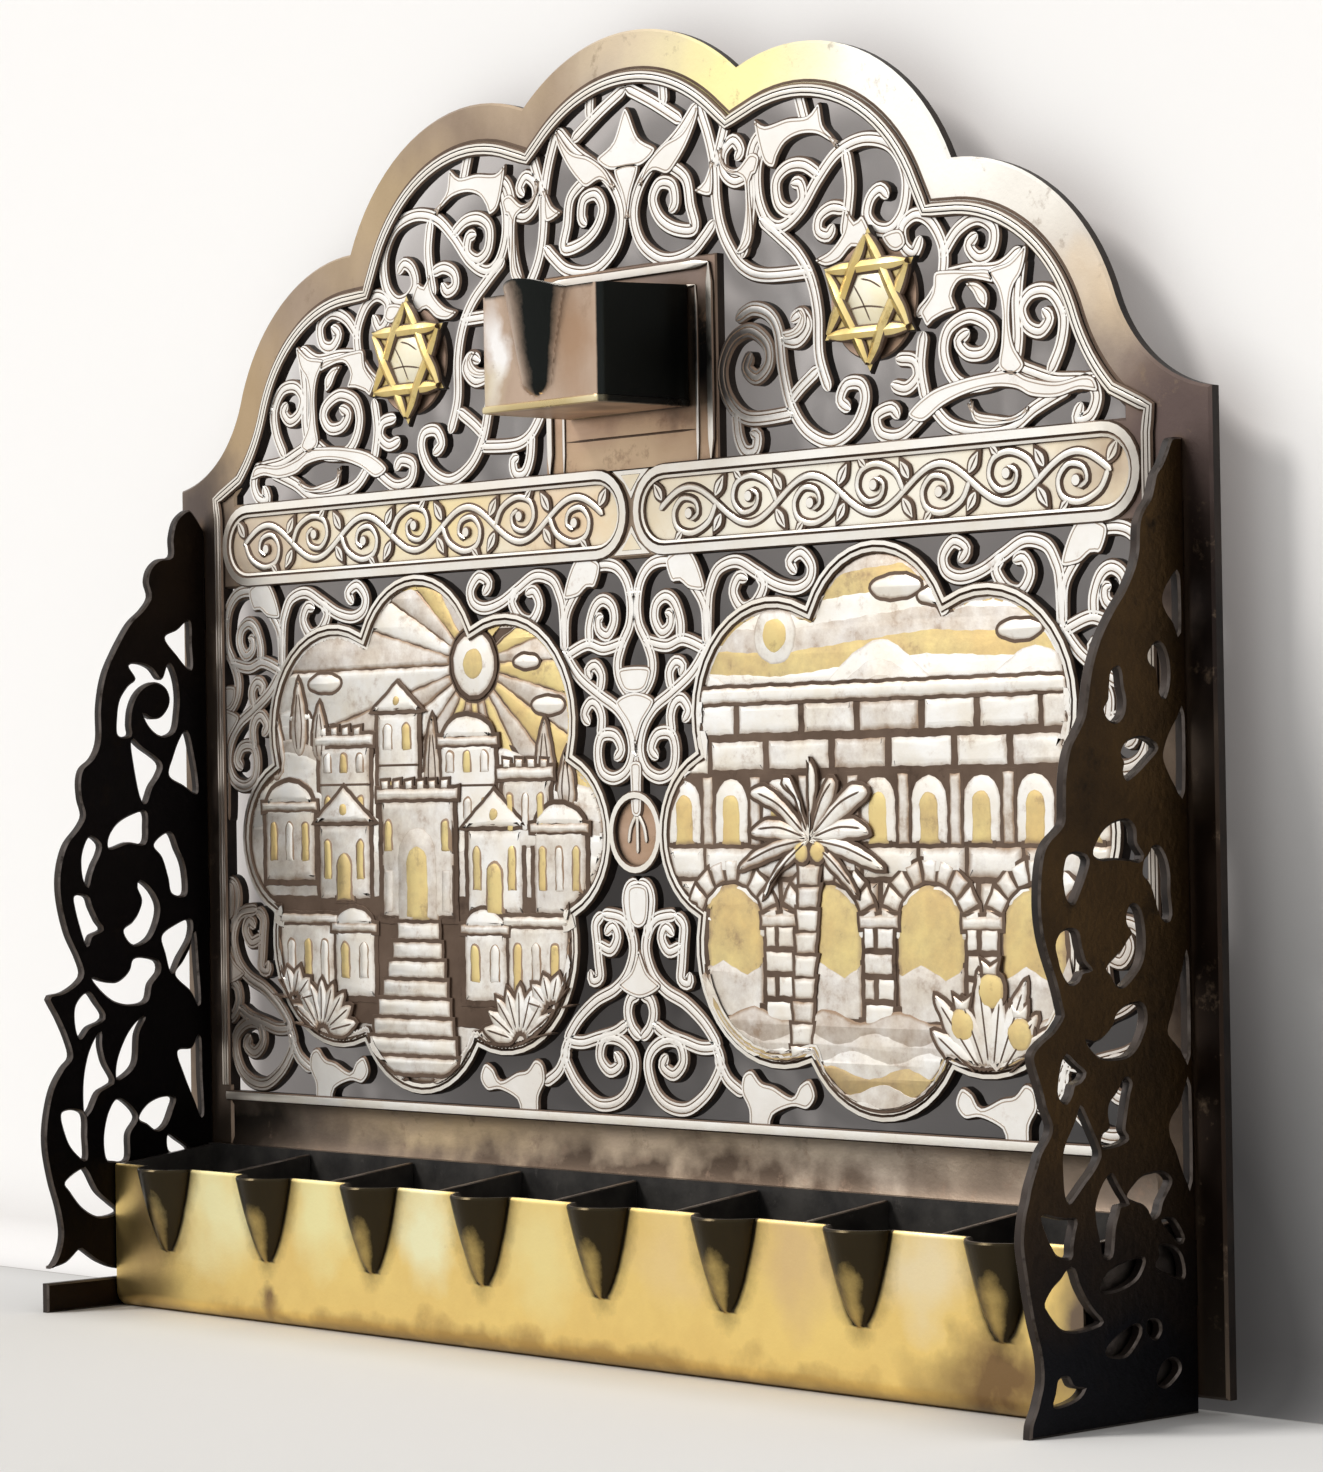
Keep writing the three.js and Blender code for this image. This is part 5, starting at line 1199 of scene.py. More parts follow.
def make_stars():
    notch = STAR_REACH / math.sqrt(3)
    for side, name in ((-1, "left"), (1, "right")):
        star = Build("star_relief_" + name, STAR, WALL, GROOVE, BACK, STAR_HEART)
        outline = [polar(r, math.radians(turn)) for k in range(6)
                   for turn, r in ((90 + 60 * k, STAR_REACH), (120 + 60 * k, notch))]
        sheet(star, outline, (), -0.8, 0.2, 0.2, slots=(0, 1, 1, 3))
        heart = [polar(notch * 0.72, math.radians(60 * k)) for k in range(6)]
        sheet(star, heart, (), -1.2, 0, (0.9, 0.35), slots=(4, 4, 1, 1))
        for x0, z0, x1, z1 in ((-3.4, -1.2, 3.2, -1.5), (-2.6, 2.1, 0.6, -3.2), (-1.2, 3.0, 2.8, 1.4)):
            vein = [(x0, z0), ((x0 + x1) / 2, (z0 + z1) / 2 + 0.3), (x1, z1)]
            ribbon(star, vein, 0.26, -1.23, -1, 0, 0.8, False, slots=(2, 2, 2, 2))
        for turn in (90, -90):
            tips = [polar(STAR_REACH, math.radians(turn + 120 * k)) for k in range(3)]
            for (ax, az), (bx, bz) in zip(tips, tips[1:] + tips[:1]):
                line = [((ax + (bx - ax) * t) * STAR_INWARD, (az + (bz - az) * t) * STAR_INWARD,
                         2.2 if 0.1 < t < 0.9 else 1.0, y) for t, y in STAR_BAR]
                ribbon(star, line, 2.2, back=-0.5, crown=0.32, step=0.6, grooved=False, slots=(0, 2, 2, 1),
                       round_ends=(False, False))
        star.make("star_" + name, "star_brass", 35, (side * STAR_X, 0, STAR_Z))


# The oil trough and its wells

WELL_PITCH, TROUGH_HALF, TROUGH_FRONT, TROUGH_BACK = 26.75, 108.1, -20.8, -0.35
RIM_Z, BACK_Z, TIP_Z, SPOUT_HALF, SPOUT_OUT, BEND = 23.8, 26.0, 10.0, 6.1, 4.7, 2.6
SHELL, WELLS = 1.0, 8
WELL_MIDDLES = [(k - (WELLS - 1) / 2) * WELL_PITCH for k in range(WELLS)]
PLAIN_COLUMNS, SPOUT_COLUMNS, TROUGH_LEVELS, BEND_STEP_DEG = 10, 36, 60, 12
RIM_DOWN, RIM_IN, RIM_GAIN = 0.3, 0.25, 2.2
# A spout's least half width, and the powers by which it widens, swells and rounds off
TIP_HALF, WIDEN, SWELL, ROUND_OFF = 1.1, 0.52, 0.62, 0.72
# The soot near a spout's rim and from which height on, and the soot beside the spout and its reach
RIM_SOOT, RIM_SOOT_FROM, HALO_SOOT, HALO_REACH = 0.6, 0.5, 0.44, 4.6
# A divider's outline, as (y, z)
DIVIDER, DIVIDER_HALF = [(-19.5, 23.4), (-1.6, 25.4), (-1.6, 1.3), (-18.2, 1.3), (-19.5, 2.5)], 0.5

# Soot across a spout, from its left border to its right one, with a painted dark reflection on its right
# flank
FLANK = ((-1.0, 0.9), (-0.75, 0.85), (-0.4, 0.74), (-0.1, 0.6), (0.15, 0.52), (0.4, 0.58), (0.7, 0.85),
         (0.9, 1.0), (1.0, 0.95))
FLAT = 9.0  # stands for a place beside every spout


def between(table, u):
    """The value at u in a table of (place, value) pairs."""
    return next(v0 + (v1 - v0) * (u - u0) / (u1 - u0)
                for (u0, v0), (u1, v1) in zip(table, table[1:]) if u <= u1)


def spout_row(z):
    """The columns of one height: x, how far the front stands out, and the soot with its painted shade."""
    up = max(0.0, (z - TIP_Z) / (RIM_Z - TIP_Z))
    half = SPOUT_HALF * up ** WIDEN
    span = max(half, TIP_HALF)
    row = []
    for k, middle in enumerate(WELL_MIDDLES):
        low = -TROUGH_HALF if k == 0 else middle - WELL_PITCH / 2
        high = TROUGH_HALF if k == WELLS - 1 else middle + WELL_PITCH / 2
        row += [(low + (middle - span - low) * i / PLAIN_COLUMNS, FLAT) for i in range(PLAIN_COLUMNS)]
        turns = [-math.pi / 2 + math.pi * i / SPOUT_COLUMNS for i in range(SPOUT_COLUMNS + 1)]
        row += [(middle + span * math.sin(t), math.sin(t)) for t in turns]
        row += [(middle + span + (high - middle - span) * i / PLAIN_COLUMNS, FLAT)
                for i in range(1, PLAIN_COLUMNS)]
    row.append((TROUGH_HALF, FLAT))
    out = []
    for x, u in row:
        dx = min((x - middle for middle in WELL_MIDDLES), key=abs)
        if abs(u) <= 1 and half > 0:
            share = max(-1.0, min(1.0, dx / half))
            bulge = SPOUT_OUT * up ** SWELL * (1 - share * share) ** ROUND_OFF if abs(share) < 1 else 0.0
            tint_and_shade = between(FLANK, share) + RIM_SOOT * max(0.0, (up - RIM_SOOT_FROM) / (1 - RIM_SOOT_FROM))
        else:
            bulge = 0.0
            far = math.hypot(max(0.0, abs(dx) - half), max(0.0, TIP_Z - z))
            tint_and_shade = HALO_SOOT * max(0.0, 1 - far / HALO_REACH)
        out.append((x, bulge, tint_and_shade))
    return out


def make_trough():
    trough = Build("trough_shell", TROUGH, SOOT_AND_SHADE, LIP, PANEL_EDGE)
    top = RIM_Z - RIM_DOWN
    zs = [top - i * (top - BEND) / TROUGH_LEVELS for i in range(TROUGH_LEVELS + 1)]
    turns = [math.radians(degrees) for degrees in range(BEND_STEP_DEG, 90, BEND_STEP_DEG)] + [math.pi / 2]
    rows, tints_and_shades, marks = [], [], []

    def row(mark, z, place, gain=0.0):
        columns = spout_row(z)
        rows.append([place(x, bulge) for x, bulge, tint_and_shade in columns])
        tints_and_shades.extend(gain * tint_and_shade for x, bulge, tint_and_shade in columns)
        marks.append(mark)

    row(0, RIM_Z, lambda x, out: (x, TROUGH_FRONT - out + RIM_IN, RIM_Z), 1)
    for z in zs:
        row(0, z, lambda x, out: (x, TROUGH_FRONT - out, z), 1)
    for a in turns:
        row(0, 0, lambda x, out: (x, TROUGH_FRONT + BEND - BEND * math.cos(a), BEND - BEND * math.sin(a)))
    row(3, 0, lambda x, out: (x, TROUGH_BACK, 0.0))
    row(3, 0, lambda x, out: (x, TROUGH_BACK, BACK_Z))
    row(1, 0, lambda x, out: (x, TROUGH_BACK - SHELL, BACK_Z))
    row(1, 0, lambda x, out: (x, TROUGH_BACK - SHELL, SHELL))
    inner = BEND - SHELL
    for a in turns[::-1]:
        row(1, 0, lambda x, out: (x, TROUGH_FRONT + BEND - inner * math.cos(a), BEND - inner * math.sin(a)))
    for z in zs[::-2]:
        row(1, z, lambda x, out: (x, TROUGH_FRONT + SHELL - out, z))
    # The rim's top in the bright lip colour, a painted highlight line.
    row(2, RIM_Z, lambda x, out: (x, TROUGH_FRONT + SHELL - RIM_IN - out, RIM_Z), RIM_GAIN)
    count = len(rows[0])
    faces, slots = [], []
    for k in range(len(rows)):
        after = (k + 1) % len(rows)
        for i in range(count - 1):
            faces.append((k * count + i, after * count + i, after * count + i + 1, k * count + i + 1))
            slots.append(marks[k])
    for i in (0, count - 1):
        faces.append(tuple(k * count + i for k in range(len(rows))))
        slots.append(0)
    trough.add([v for points in rows for v in points], faces, slots, tints_and_shades)
    for side in (-1, 1):
        profile = [(TROUGH_FRONT + 0.4, RIM_Z - 0.1), (TROUGH_BACK - 0.1, BACK_Z - 0.1),
                   (TROUGH_BACK - 0.1, 0.3), (TROUGH_FRONT + 1.4, 0.3), (TROUGH_FRONT + 0.4, BEND)]
        sheet_x(trough, profile, (), side * TROUGH_HALF, side * (TROUGH_HALF - SHELL), 0.12, (3, 3, 3, 1))
    trough.make("oil_trough", "trough_brass", 40)
    for k in range(1, WELLS):
        well = Build(f"well_sheet_{k}", SOOT_AND_SHADE, PANEL_EDGE)
        x = (k - WELLS / 2) * WELL_PITCH
        for face in (x - DIVIDER_HALF, x + DIVIDER_HALF):
            sheet_x(well, DIVIDER, (), face, x, 0.15)
        well.make(f"well_divider_{k}", "sooty_brass")


# The servant cup

CUP_HALF, CUP_FRONT, CUP_BACK, CUP_LOW, CUP_TALL, CUP_RISE = 13.5, -18.3, -0.35, 142.4, 17.7, 0.7
CUP_COLUMNS, CUP_LEVELS, CUP_BEND_STEPS, CUP_WALL_STEPS = 92, 44, 5, 12
CUP_CORNER, CUP_SPOUT_X, CUP_SPOUT_LOW, CUP_LIP, CUP_LIP_HALF = 1.3, -0.6, 1.9, 1.6, 6.2

# Soot across the cup's spout, from its left border to its right one, with painted shade: light on the left,
# near black on the right
CUP_FLANK = ((-1.0, 0.0), (-0.6, 0.15), (-0.2, 0.42), (0.1, 0.72), (0.35, 0.9), (0.6, 1.1), (0.85, 1.0),
             (1.0, 0.35))
# The spout's half width and depth near its tip, and how much wider and deeper it is at the rim
CUP_TIP_HALF, CUP_WIDER, CUP_TIP_OUT, CUP_FURTHER, CUP_TIP_SHARE = 3.0, 3.2, 1.5, 2.8, 0.1
# The soot beside the spout, how fast it fades, and the soot on the topmost part of the wall
CUP_HALO, CUP_FADE, CUP_RIM_SOOT, CUP_RIM_FROM = 0.3, 1.6, 0.8, 0.96
# The bright bead round the floor: how far it stands out at each height
CUP_BEAD = ((0.0, 0.0), (0.25, 0.12), (0.32, 0.6), (0.22, 1.0), (0.0, 1.15))
CUP_BEAD_IN, CUP_BEAD_DOWN, CUP_FLOOR = 0.4, 0.05, 1.1


def cup_spout(x, up):
    """How far the cup's front stands out at x, and how deep inside the spout x lies."""
    s = (up * CUP_TALL - CUP_SPOUT_LOW) / (CUP_TALL - CUP_SPOUT_LOW)
    if s <= 0:
        return 0.0, FLAT
    tip = min(1.0, math.sqrt(s / CUP_TIP_SHARE))
    u = (x - CUP_SPOUT_X) / (CUP_TIP_HALF * tip + CUP_WIDER * s ** 1.3)
    deepest = CUP_TIP_OUT * tip + CUP_FURTHER * s ** 1.1
    return (deepest * (1 - u * u) ** 0.7 if abs(u) < 1 else 0.0), u


def cup_section(up, grow=0.0):
    """The cup's outline seen from above, with the soot and painted shade on each of its points."""
    half, front, back, r = CUP_HALF + grow, CUP_FRONT - grow, CUP_BACK, CUP_CORNER
    loop, tint_and_shade = [], []
    for i in range(CUP_COLUMNS + 1):
        x = -(half - r) + 2 * (half - r) * i / CUP_COLUMNS
        depth, u = cup_spout(x, up)
        loop.append((x, front - depth))
        if abs(u) < 1:
            shade = between(CUP_FLANK, u)
        else:
            shade = max(0.0, CUP_HALO * (1 - (abs(u) - 1) * CUP_FADE))
        tint_and_shade.append(max(shade, CUP_RIM_SOOT * max(0.0, (up - CUP_RIM_FROM) / (1 - CUP_RIM_FROM))))
    bend = [(half - r + r * math.sin(a), front + r - r * math.cos(a))
            for a in (math.pi / 2 * k / CUP_BEND_STEPS for k in range(1, CUP_BEND_STEPS + 1))]
    wall = [(half, front + r + (back - front - r) * k / CUP_WALL_STEPS)
            for k in range(1, CUP_WALL_STEPS + 1)]
    loop += bend + wall + [(-x, y) for x, y in (bend + wall)[::-1]]
    # Painted shade on the sides: the right side, turned from the light, near black; the left side half as
    # dark.
    right = [0.0] + [1.0] * (CUP_BEND_STEPS - 1) + [1.2] * CUP_WALL_STEPS
    left = [0.6] + [0.5] * (CUP_WALL_STEPS - 1) + [0.0] * CUP_BEND_STEPS
    return loop, tint_and_shade + right + left


def make_cup():
    cup = Build("cup_shell", CUP, SOOT_AND_SHADE, LIP, PAD)

    def placed(loop, up):
        lip = [CUP_LIP * up ** 3 * max(0.0, 1 - ((x - CUP_SPOUT_X) / CUP_LIP_HALF) ** 2)
               * max(0.0, min(1.0, y / CUP_FRONT)) ** 4 for x, y in loop]
        return [(x, y, CUP_LOW + up * (CUP_TALL + CUP_RISE * min(1, 1 - y / CUP_FRONT)) + high)
                for (x, y), high in zip(loop, lip)]

    rings, tint_and_shade, marks = [], [], []
    for j in range(CUP_LEVELS + 1):
        loop, cup_soot_and_shade = cup_section(j / CUP_LEVELS)
        rings.append(placed(loop, j / CUP_LEVELS))
        tint_and_shade += cup_soot_and_shade
        marks.append(0)
    # The top edge in the bright lip colour, a painted highlight line.
    marks[-1] = 2
    for j in range(CUP_LEVELS, 2, -2):
        loop, cup_soot_and_shade = cup_section(j / CUP_LEVELS)
        rings.append(placed(offset(loop, SHELL), j / CUP_LEVELS))
        tint_and_shade += [1.0] * len(loop)
        marks.append(1)
    stitch(cup, rings, marks, tint_and_shade)
    for ring_points, slot, extra in ((rings[0], 3, 0.0), (rings[-1], 1, 1.0)):
        flat = [(x, y) for x, y, z in ring_points]
        cup.add(list(ring_points), flat_faces([flat]), slot, [extra] * len(ring_points))
    bead = []
    for grow, z in CUP_BEAD:
        loop, cup_soot_and_shade = cup_section(0.0, grow)
        bead.append([(x, y, CUP_LOW + z - CUP_BEAD_DOWN) for x, y in loop])
    inner, cup_soot_and_shade = cup_section(0.0)
    for z in (CUP_LOW + CUP_FLOOR, CUP_LOW - CUP_BEAD_DOWN):
        bead.append([(x, y, z) for x, y in offset(inner, CUP_BEAD_IN)])
    stitch(cup, bead + bead[:1], [2] * len(bead), [max(0.0, d - 0.25) for d in cup_soot_and_shade] * (len(bead) + 1))
    block(cup, -4, 4, -1, 2.8, CUP_LOW + CUP_TALL / 2 - 1.2, CUP_LOW + CUP_TALL / 2 + 1.2)
    cup.make("servant_cup", "cup_brass", 38)


# Openwork side panels, in mm forward of the plate and above the ground: first the front line, then
# the openings

LEFT_LINE, *LEFT_HOLES = traced("""
33.9,7.2 32.3,9.3 31.4,12.7 32,16.8 33.5,21.8 34.5,27.2 34.3,31.8 33,36.8 30.8,40.2 29.1,42 29.9,45
31.6,48.5 33.5,51.7 33.1,52.4 30.5,52.8 27.8,54.2 26.6,55.8 27.5,58.5 29.6,62.7 31,68.3 31,72.9 29.6,77.2
26.9,80.2 25.8,82.2 26.5,84.8 26.7,87.8 26,90 23.8,91.8 22.5,94.8 22.4,100.2 21.4,105.2 19.4,109.3
16.1,114.2 13.2,116.7 11.6,118.9 12.2,121.4 11.5,123.7 9.6,125.3 7,125.9 6.9,128.9 6.1,131.7 4.6,133.3
3.1,133.9 1.8,132.8 0,130.3; 8.5,112 6,113.3 3.6,114.8 3.4,111 3.4,106.8 6.2,109.2; 16.1,107.2 13.9,107.5
11.6,106.7 10,105 9,105.2 7.9,107.5 6.7,105.6 6.1,102.5 6.3,99.3 7.1,96.2 9.6,95.4 11.8,96.7 13.2,98.9
11.6,98.2 9.6,98.5 8,100.2 7.7,102 8.7,103.7 10.8,104.5 13.1,103.8 14.9,102.2 16,99.8 16.3,97.2 16.2,95.5
18.5,95.5 18.6,98.5 18,101.4 16.3,103.7 14.7,105; 15.8,94.5 13.9,93.3 10.1,90.8 10.4,88.9 12,86.8
13.2,84.2 14.2,85.3 15.3,90.2; 4.4,96 3.4,92.7 2.6,88.5 2.6,85.7 5.1,87 8,88.7 7.1,91.8 5.7,94.8;
20.8,76.7 20.6,78.5 18.9,80.6 16.1,82 13.4,82.5 13.1,80 13.6,77.3 16.9,77.5 19.4,76.8; 24.5,78.5 22.7,77.2
23,75.6 24,73.9 24.8,72 25.3,70.4 26.1,71.8 26.3,74.8 25.6,77.2; 27.8,68.7 25.5,68.5 24.7,66.7 23.4,64.3
22.5,63 24.7,62.1 25.6,60.5 26.7,63.3 27.7,66.7; 8.3,78.9 6.7,76 5.5,73.5 5,70.2 5.4,68.3 7.8,68.7
8.5,71.4 9.7,74.8 11.4,77; 14.5,70.8 12.4,69.3 10.9,66.8 11.2,64.2 12.8,61.4 15.3,60.2 16.9,60.8 17.9,62.7
16.1,63.9 14.7,65.6 14,67.7 14.9,69.8; 10,61.4 7.5,63.1 4.3,64 4.3,61.2 6.7,57.7 8.2,55.3 9.3,58.5;
3.4,61.8 2.9,56 2.6,49.8 4.2,52 7.3,54.8 5.7,57 4.2,59.3; 16.7,56 16,57.7 13.9,57.9 11.2,57.2 10.9,55.5
12.7,53.5 13.6,50.8 16.5,50.2 19.8,50.8 22.4,52.5 24.5,54.8 22.2,54.2 19.8,53.9 18,54.7; 25.6,52.5
23.8,50.6 22.4,48.7 23,47.7 25.5,46.8 27.3,45.1 28.1,47.7 27.8,50.6; 23.2,45.6 23.2,43.5 22.4,40.6
20.7,37.7 21.8,36.8 23.8,35.8 25.5,32.9 26.5,32.7 26.5,37.7 25.6,41.8 24.3,44.5; 14.2,47.8 15.6,45.2
16.3,40.2 19.4,37.9 19.9,38.7 19.4,41.4 17.7,44.8 15.8,47; 7.1,41.8 4.2,42.2 2.7,44 2.5,37.7 2.3,30.8
3.9,33.7 5.9,38.1; 22.2,24.8 22.5,28.5 21.4,32.5 19.4,34.4 16,31.4 17.7,28.5 18,24.3 20.9,24.2; 15.3,31
13.6,33.1 10.8,34.2 8.2,34 8.7,32.2 10,29.7 11.8,28.8 13.7,30; 9.4,27.8 7.5,26.8 5.2,25 9.1,25; 31,32.8
26.9,32.5 26.5,28.5 26.5,24.9 28.4,26 30.1,28.5; 27.4,23.2 26.3,22.7 24.3,19.3 21.6,17 20.1,15.6 23.8,15.1
27.1,16.8 29.6,19.7 30.5,21.3; 19.4,18.2 17.9,20.2 14.9,21.2 10.9,21.5 12.1,19.3 14.7,18.2 17.7,17.8;
7.5,23.9 5.1,23.5 3.3,21.4 2.9,18.5 5.9,19.2 8.3,20.5 7.2,22.2; 18.5,9.7 16.9,11.4 12.8,12.9 11.8,11.8
14.7,9.2; 8.5,5.2 7.1,7.4 5,7.7 4.6,5.5 6.9,4.3
""")
RIGHT_LINE, *RIGHT_HOLES = traced("""
33.5,0 33.3,1.7 32.85,2.7 32.2,3.85 31.6,5.4 31.1,6.9 31,8.85 31.3,10.96 31.9,12.9 32.5,14.8 33,16.9
33.5,19.2 33.9,21.5 34.3,23.5 34.5,25.4 34.3,27.3 33.9,29.2 33.3,30.8 32.85,32.3 32.2,33.8 31.4,35.4
30.65,36.9 29.3,38.4 28.6,39.4 28.5,40.2 28.9,41.15 29.7,42.7 30.15,44.2 30.85,45.96 31.5,47.5 31.96,48.9
31.6,50 30.1,51.15 27.96,52.3 26.8,53.3 25.9,54.4 26.2,55.6 26.7,57.3 27.4,59.2 27.9,60.3 28.95,62.8
29.7,65.3 30.1,68.3 30,71.5 29.6,74.2 28.95,76.1 27.8,77.4 26.2,78.5 25.1,79.7 24.95,82.4 24.8,85.1
24.3,87.6 23.5,89.6 22.1,91.4 20.8,93.3 20.2,95.5 19.7,98 19,100.3 18,102.6 16.9,104.5 15.5,106.4 14.2,108
12.7,109.6 11.2,111.7 10.1,113.7 9.5,115.8 9.4,117.6 9.1,119.4 8.2,121 6.9,122.4 6.2,124.1 5.6,125.8
4.4,127.1 3.4,128.7 2.45,130.5 1.45,130.9 0,130.9; 1.45,112.3 3.05,111.5 4.2,110 4.5,108.7 3.7,107.3
2.4,106 1.4,104.7; 7.7,101.4 6.9,102.6 5.9,103.2 4.6,102.5 3.8,100.5 3.8,98 4.6,96 5.45,96.5 5.9,98.7
6.2,99.9 7.1,100.3; 13.9,99.8 15.1,99.2 15.5,97.4 15.7,95.5 16.6,94.3 15.8,93 14.4,92.7 13.1,93.7
12.7,95.5 13.2,97.4 13.4,99; 13.4,88.5 12.3,89.9 9.9,90.5 8,90.2 6.45,89.2 8.3,87.6 10.5,86.1 12.5,85.1
13,86.2 12.7,87.3; 1,93.6 2.1,92.9 3.5,91.2 4.6,89.2 4.9,87.9 4.2,86.4 2.8,84.4 1.2,83.3; 19.2,75.3
18.4,76.9 16.8,78.5 14.6,79.4 12.4,79.5 11.2,78.4 11,76.5 9.7,74.9 10.5,74.2 12.4,74.5 15.5,74.7
17.8,74.6; 25.1,72.8 24.4,74.9 23,75.4 21.5,75.2 20.5,74.5 21.2,72.6 22.4,70.5 23.5,69 24.5,69.5 25,71.2;
9.4,72.4 9.1,74.2 8.2,74.9 7.45,75.9 6.2,75.8 5.1,74.4 4.5,72.4 4.5,69.9 4.2,66.9 5,66.1 6.1,66.9 6.9,68.7
7.6,70.5 8.5,71.7; 12.9,66.5 12.6,67.7 11.8,68.4 10.5,67.7 9.8,65.5 9.7,62.8 10.5,60.5 12.4,58.7 14.2,57.7
15.4,58.2 16.1,59.3 17,60.2 15.3,61.5 13.7,62.6 12.7,63.7 11.7,64.7 12.5,65.6; 26.8,63.6 25.8,65.1
24.1,65.5 22.8,65 22.3,63.3 21.5,61.2 20.4,60.2 22.1,59.9 22.8,58.9 24.4,58.5 25.8,60.2 26.4,61.9; 1,60.9
1.9,59.2 3.15,56.2 3.85,54 4.8,52.1 4.85,51 3.6,49.8 2.4,48.8 1,48; 21.3,50.8 20.1,50.5 18.3,50.9
16.8,51.8 15.8,52.8 15.2,54 13.9,54.8 12.4,55.2 10.8,55.3 9.8,54.6 9.6,53 10.4,51.2 11.6,49.6 13.2,48.6
15.5,48.3 18.2,48.5 19.9,49.4; 26.9,44.5 26.6,46.5 26,48.3 25.3,49.1 24.4,48.5 23.5,47.8 21.9,46.7
22.8,45.7 24.1,45.3 24.5,44.2 25.5,43.1 26.5,43.5; 22.8,42.2 23.5,40.7 24.6,39 25.5,37.7 26.1,36 26.1,33.5
25.9,31.3 25.3,30.1 24,31 22.3,32.5 20.5,34 19.2,35.7 19.5,36.9 20.4,38.5 21.4,40.2 22.2,41.5; 13.9,45.5
15.3,43.8 16.8,42.5 17.2,41.2 16.9,39.2 18.2,38.5 18.7,37.5 18.5,36.8 16,36.9 13.7,37.6 14.4,38.8
13.9,41.2 13.3,43.5 12.8,44.9; 1,43.8 1.8,43.4 2.8,41.5 4.3,40 5,38.8 4.8,37.3 3.8,35.6 2.8,33.4 1.8,31.4
1,31.2; 16.9,33 18,32.4 19.1,31 19.9,29.2 19.9,27.3 19.3,25 18.6,22.5 17.3,22.5 16.9,24.2 16.6,26.2
15.8,28.1 15.4,28.9 13.9,29.1 14.9,30.4 15.9,31.7; 13.7,30 12.4,31.3 10.8,32.3 8.8,32.6 6.8,32.6 5.15,31.5
6.15,30 7.1,28.8 7.7,27.3 8.8,26.8 9.4,27.8 10.5,28.7 12,29.2; 6.9,26.3 5,26.3 3.85,25.3 2.8,23.6 3.6,23.1
4.6,24 5.7,25; 7.5,22.9 5.1,22.6 3.3,21.2 2.9,18.5 5.9,19.2 8.3,20.3 7.4,21.6; 19.4,18.2 17.9,20.2
14.9,21.2 10.9,21.5 12.1,19.3 14.7,18.2 17.7,17.8; 30.1,17.3 28.7,19 26.9,20.2 25.8,21.2 24.7,21.2 23.7,19
22.3,16.9 20.8,15.3 19.4,14 20.5,13.6 22.5,13.3 25.1,13.3 27.1,13.8 28.7,15.2 29.7,16.4; 30.5,28.5
28.3,28.2 26.2,27.8 24.2,27.6 24.5,26.2 25,24.4 25.3,22.9 27.5,23.3 28.5,24.4 29.5,26; 27.8,7.1 26.9,7.4
26,7.2 25.4,6.2 24.3,5.7 23.1,5.5 24,4.7 25.5,4.2 27.4,3.9 28.8,4 28.3,5.4; 18.5,9.7 16.9,11.4 12.8,12.9
11.8,11.8 14.7,9.2; 10.1,13.2 8.2,13 7.7,11.8 8.8,10.8 10.2,11.8; 8.5,5.2 7.1,7.4 5,7.7 3.9,6.6 4.6,5.5
6.9,4.3
""")


PANEL_THICK, PANEL_X, PANEL_FRONT, PANEL_HIGH, PANEL_CHAMFER = 1.7, 108.4, -34.55, 133.95, 0.3
TENONS_AT, TENON_HALF, TENON_END = (18.8, 67.0, 117.9), 4.4, 2.78


def double_sheet(build, outer, holes, x0, x1, chamfer):
    """A flat piece drawn as (y, z), with both its faces chamfered; slots: 0 face, 1 chamfer, 2 wall."""
    loops = [counter(outer)] + [counter(hole) for hole in holes]
    small = [offset(loops[0], chamfer)] + [offset(hole, -chamfer) for hole in loops[1:]]
    for loop, inner in zip(loops, small):
        stitch(build, [[(x0, y, z) for y, z in inner], [(x0 + chamfer, y, z) for y, z in loop],
                       [(x1 - chamfer, y, z) for y, z in loop], [(x1, y, z) for y, z in inner]],
               [1, 2, 1])
    faces = flat_faces(small)
    for x in (x0, x1):
        build.add([(x, y, z) for loop in small for y, z in loop], faces, 0)


def make_panels():
    foot = [(-0.05, 0), (PANEL_FRONT, 0), (PANEL_FRONT, 4.8), (-13.5, 4.8)]
    arch = catmull([(-14.0, 5.8), (-17, 6.0), (-20.6, 6.2), (-24.2, 7.6), (-27.6, 9.9), (-28.2, 9.8),
                    (-30.6, 8.0), (-33.6, 7.3)], 0.7)
    for name, x0, low, line, openings in (
            ("left", -PANEL_X - PANEL_THICK, foot + arch, LEFT_LINE, LEFT_HOLES),
            ("right", PANEL_X, [(-0.05, 0)], RIGHT_LINE, RIGHT_HOLES)):
        front = catmull([(-f, z) for f, z in line], 0.6)
        outline = low + [(max(min(y, -0.05), PANEL_FRONT), min(max(z, 0), PANEL_HIGH)) for y, z in front]
        holes = [catmull([(-f, z) for f, z in hole], 0.5, True) for hole in openings]
        panel = Build("panel_openwork_" + name, PANEL, PANEL_EDGE, WALL)
        double_sheet(panel, outline, holes, x0, x0 + PANEL_THICK, PANEL_CHAMFER)
        for z in TENONS_AT:
            block(panel, x0 + 0.1, x0 + PANEL_THICK - 0.1, -0.4, TENON_END, z - TENON_HALF, z + TENON_HALF,
                  (0, 1, 0, 0))
        panel.make("side_panel_" + name, "panel_brass", 35)


# The stage: a floor, a paper sheet curving up behind the object, a soft lamp and a white surround

WALL_AT, FILLET, STAGE_REACH = 26.0, 8.0, 2.5
WHITE = (1.0, 1.0, 1.0)
SHADE_REACH, OWN_LIGHT = 24.0, 0.33
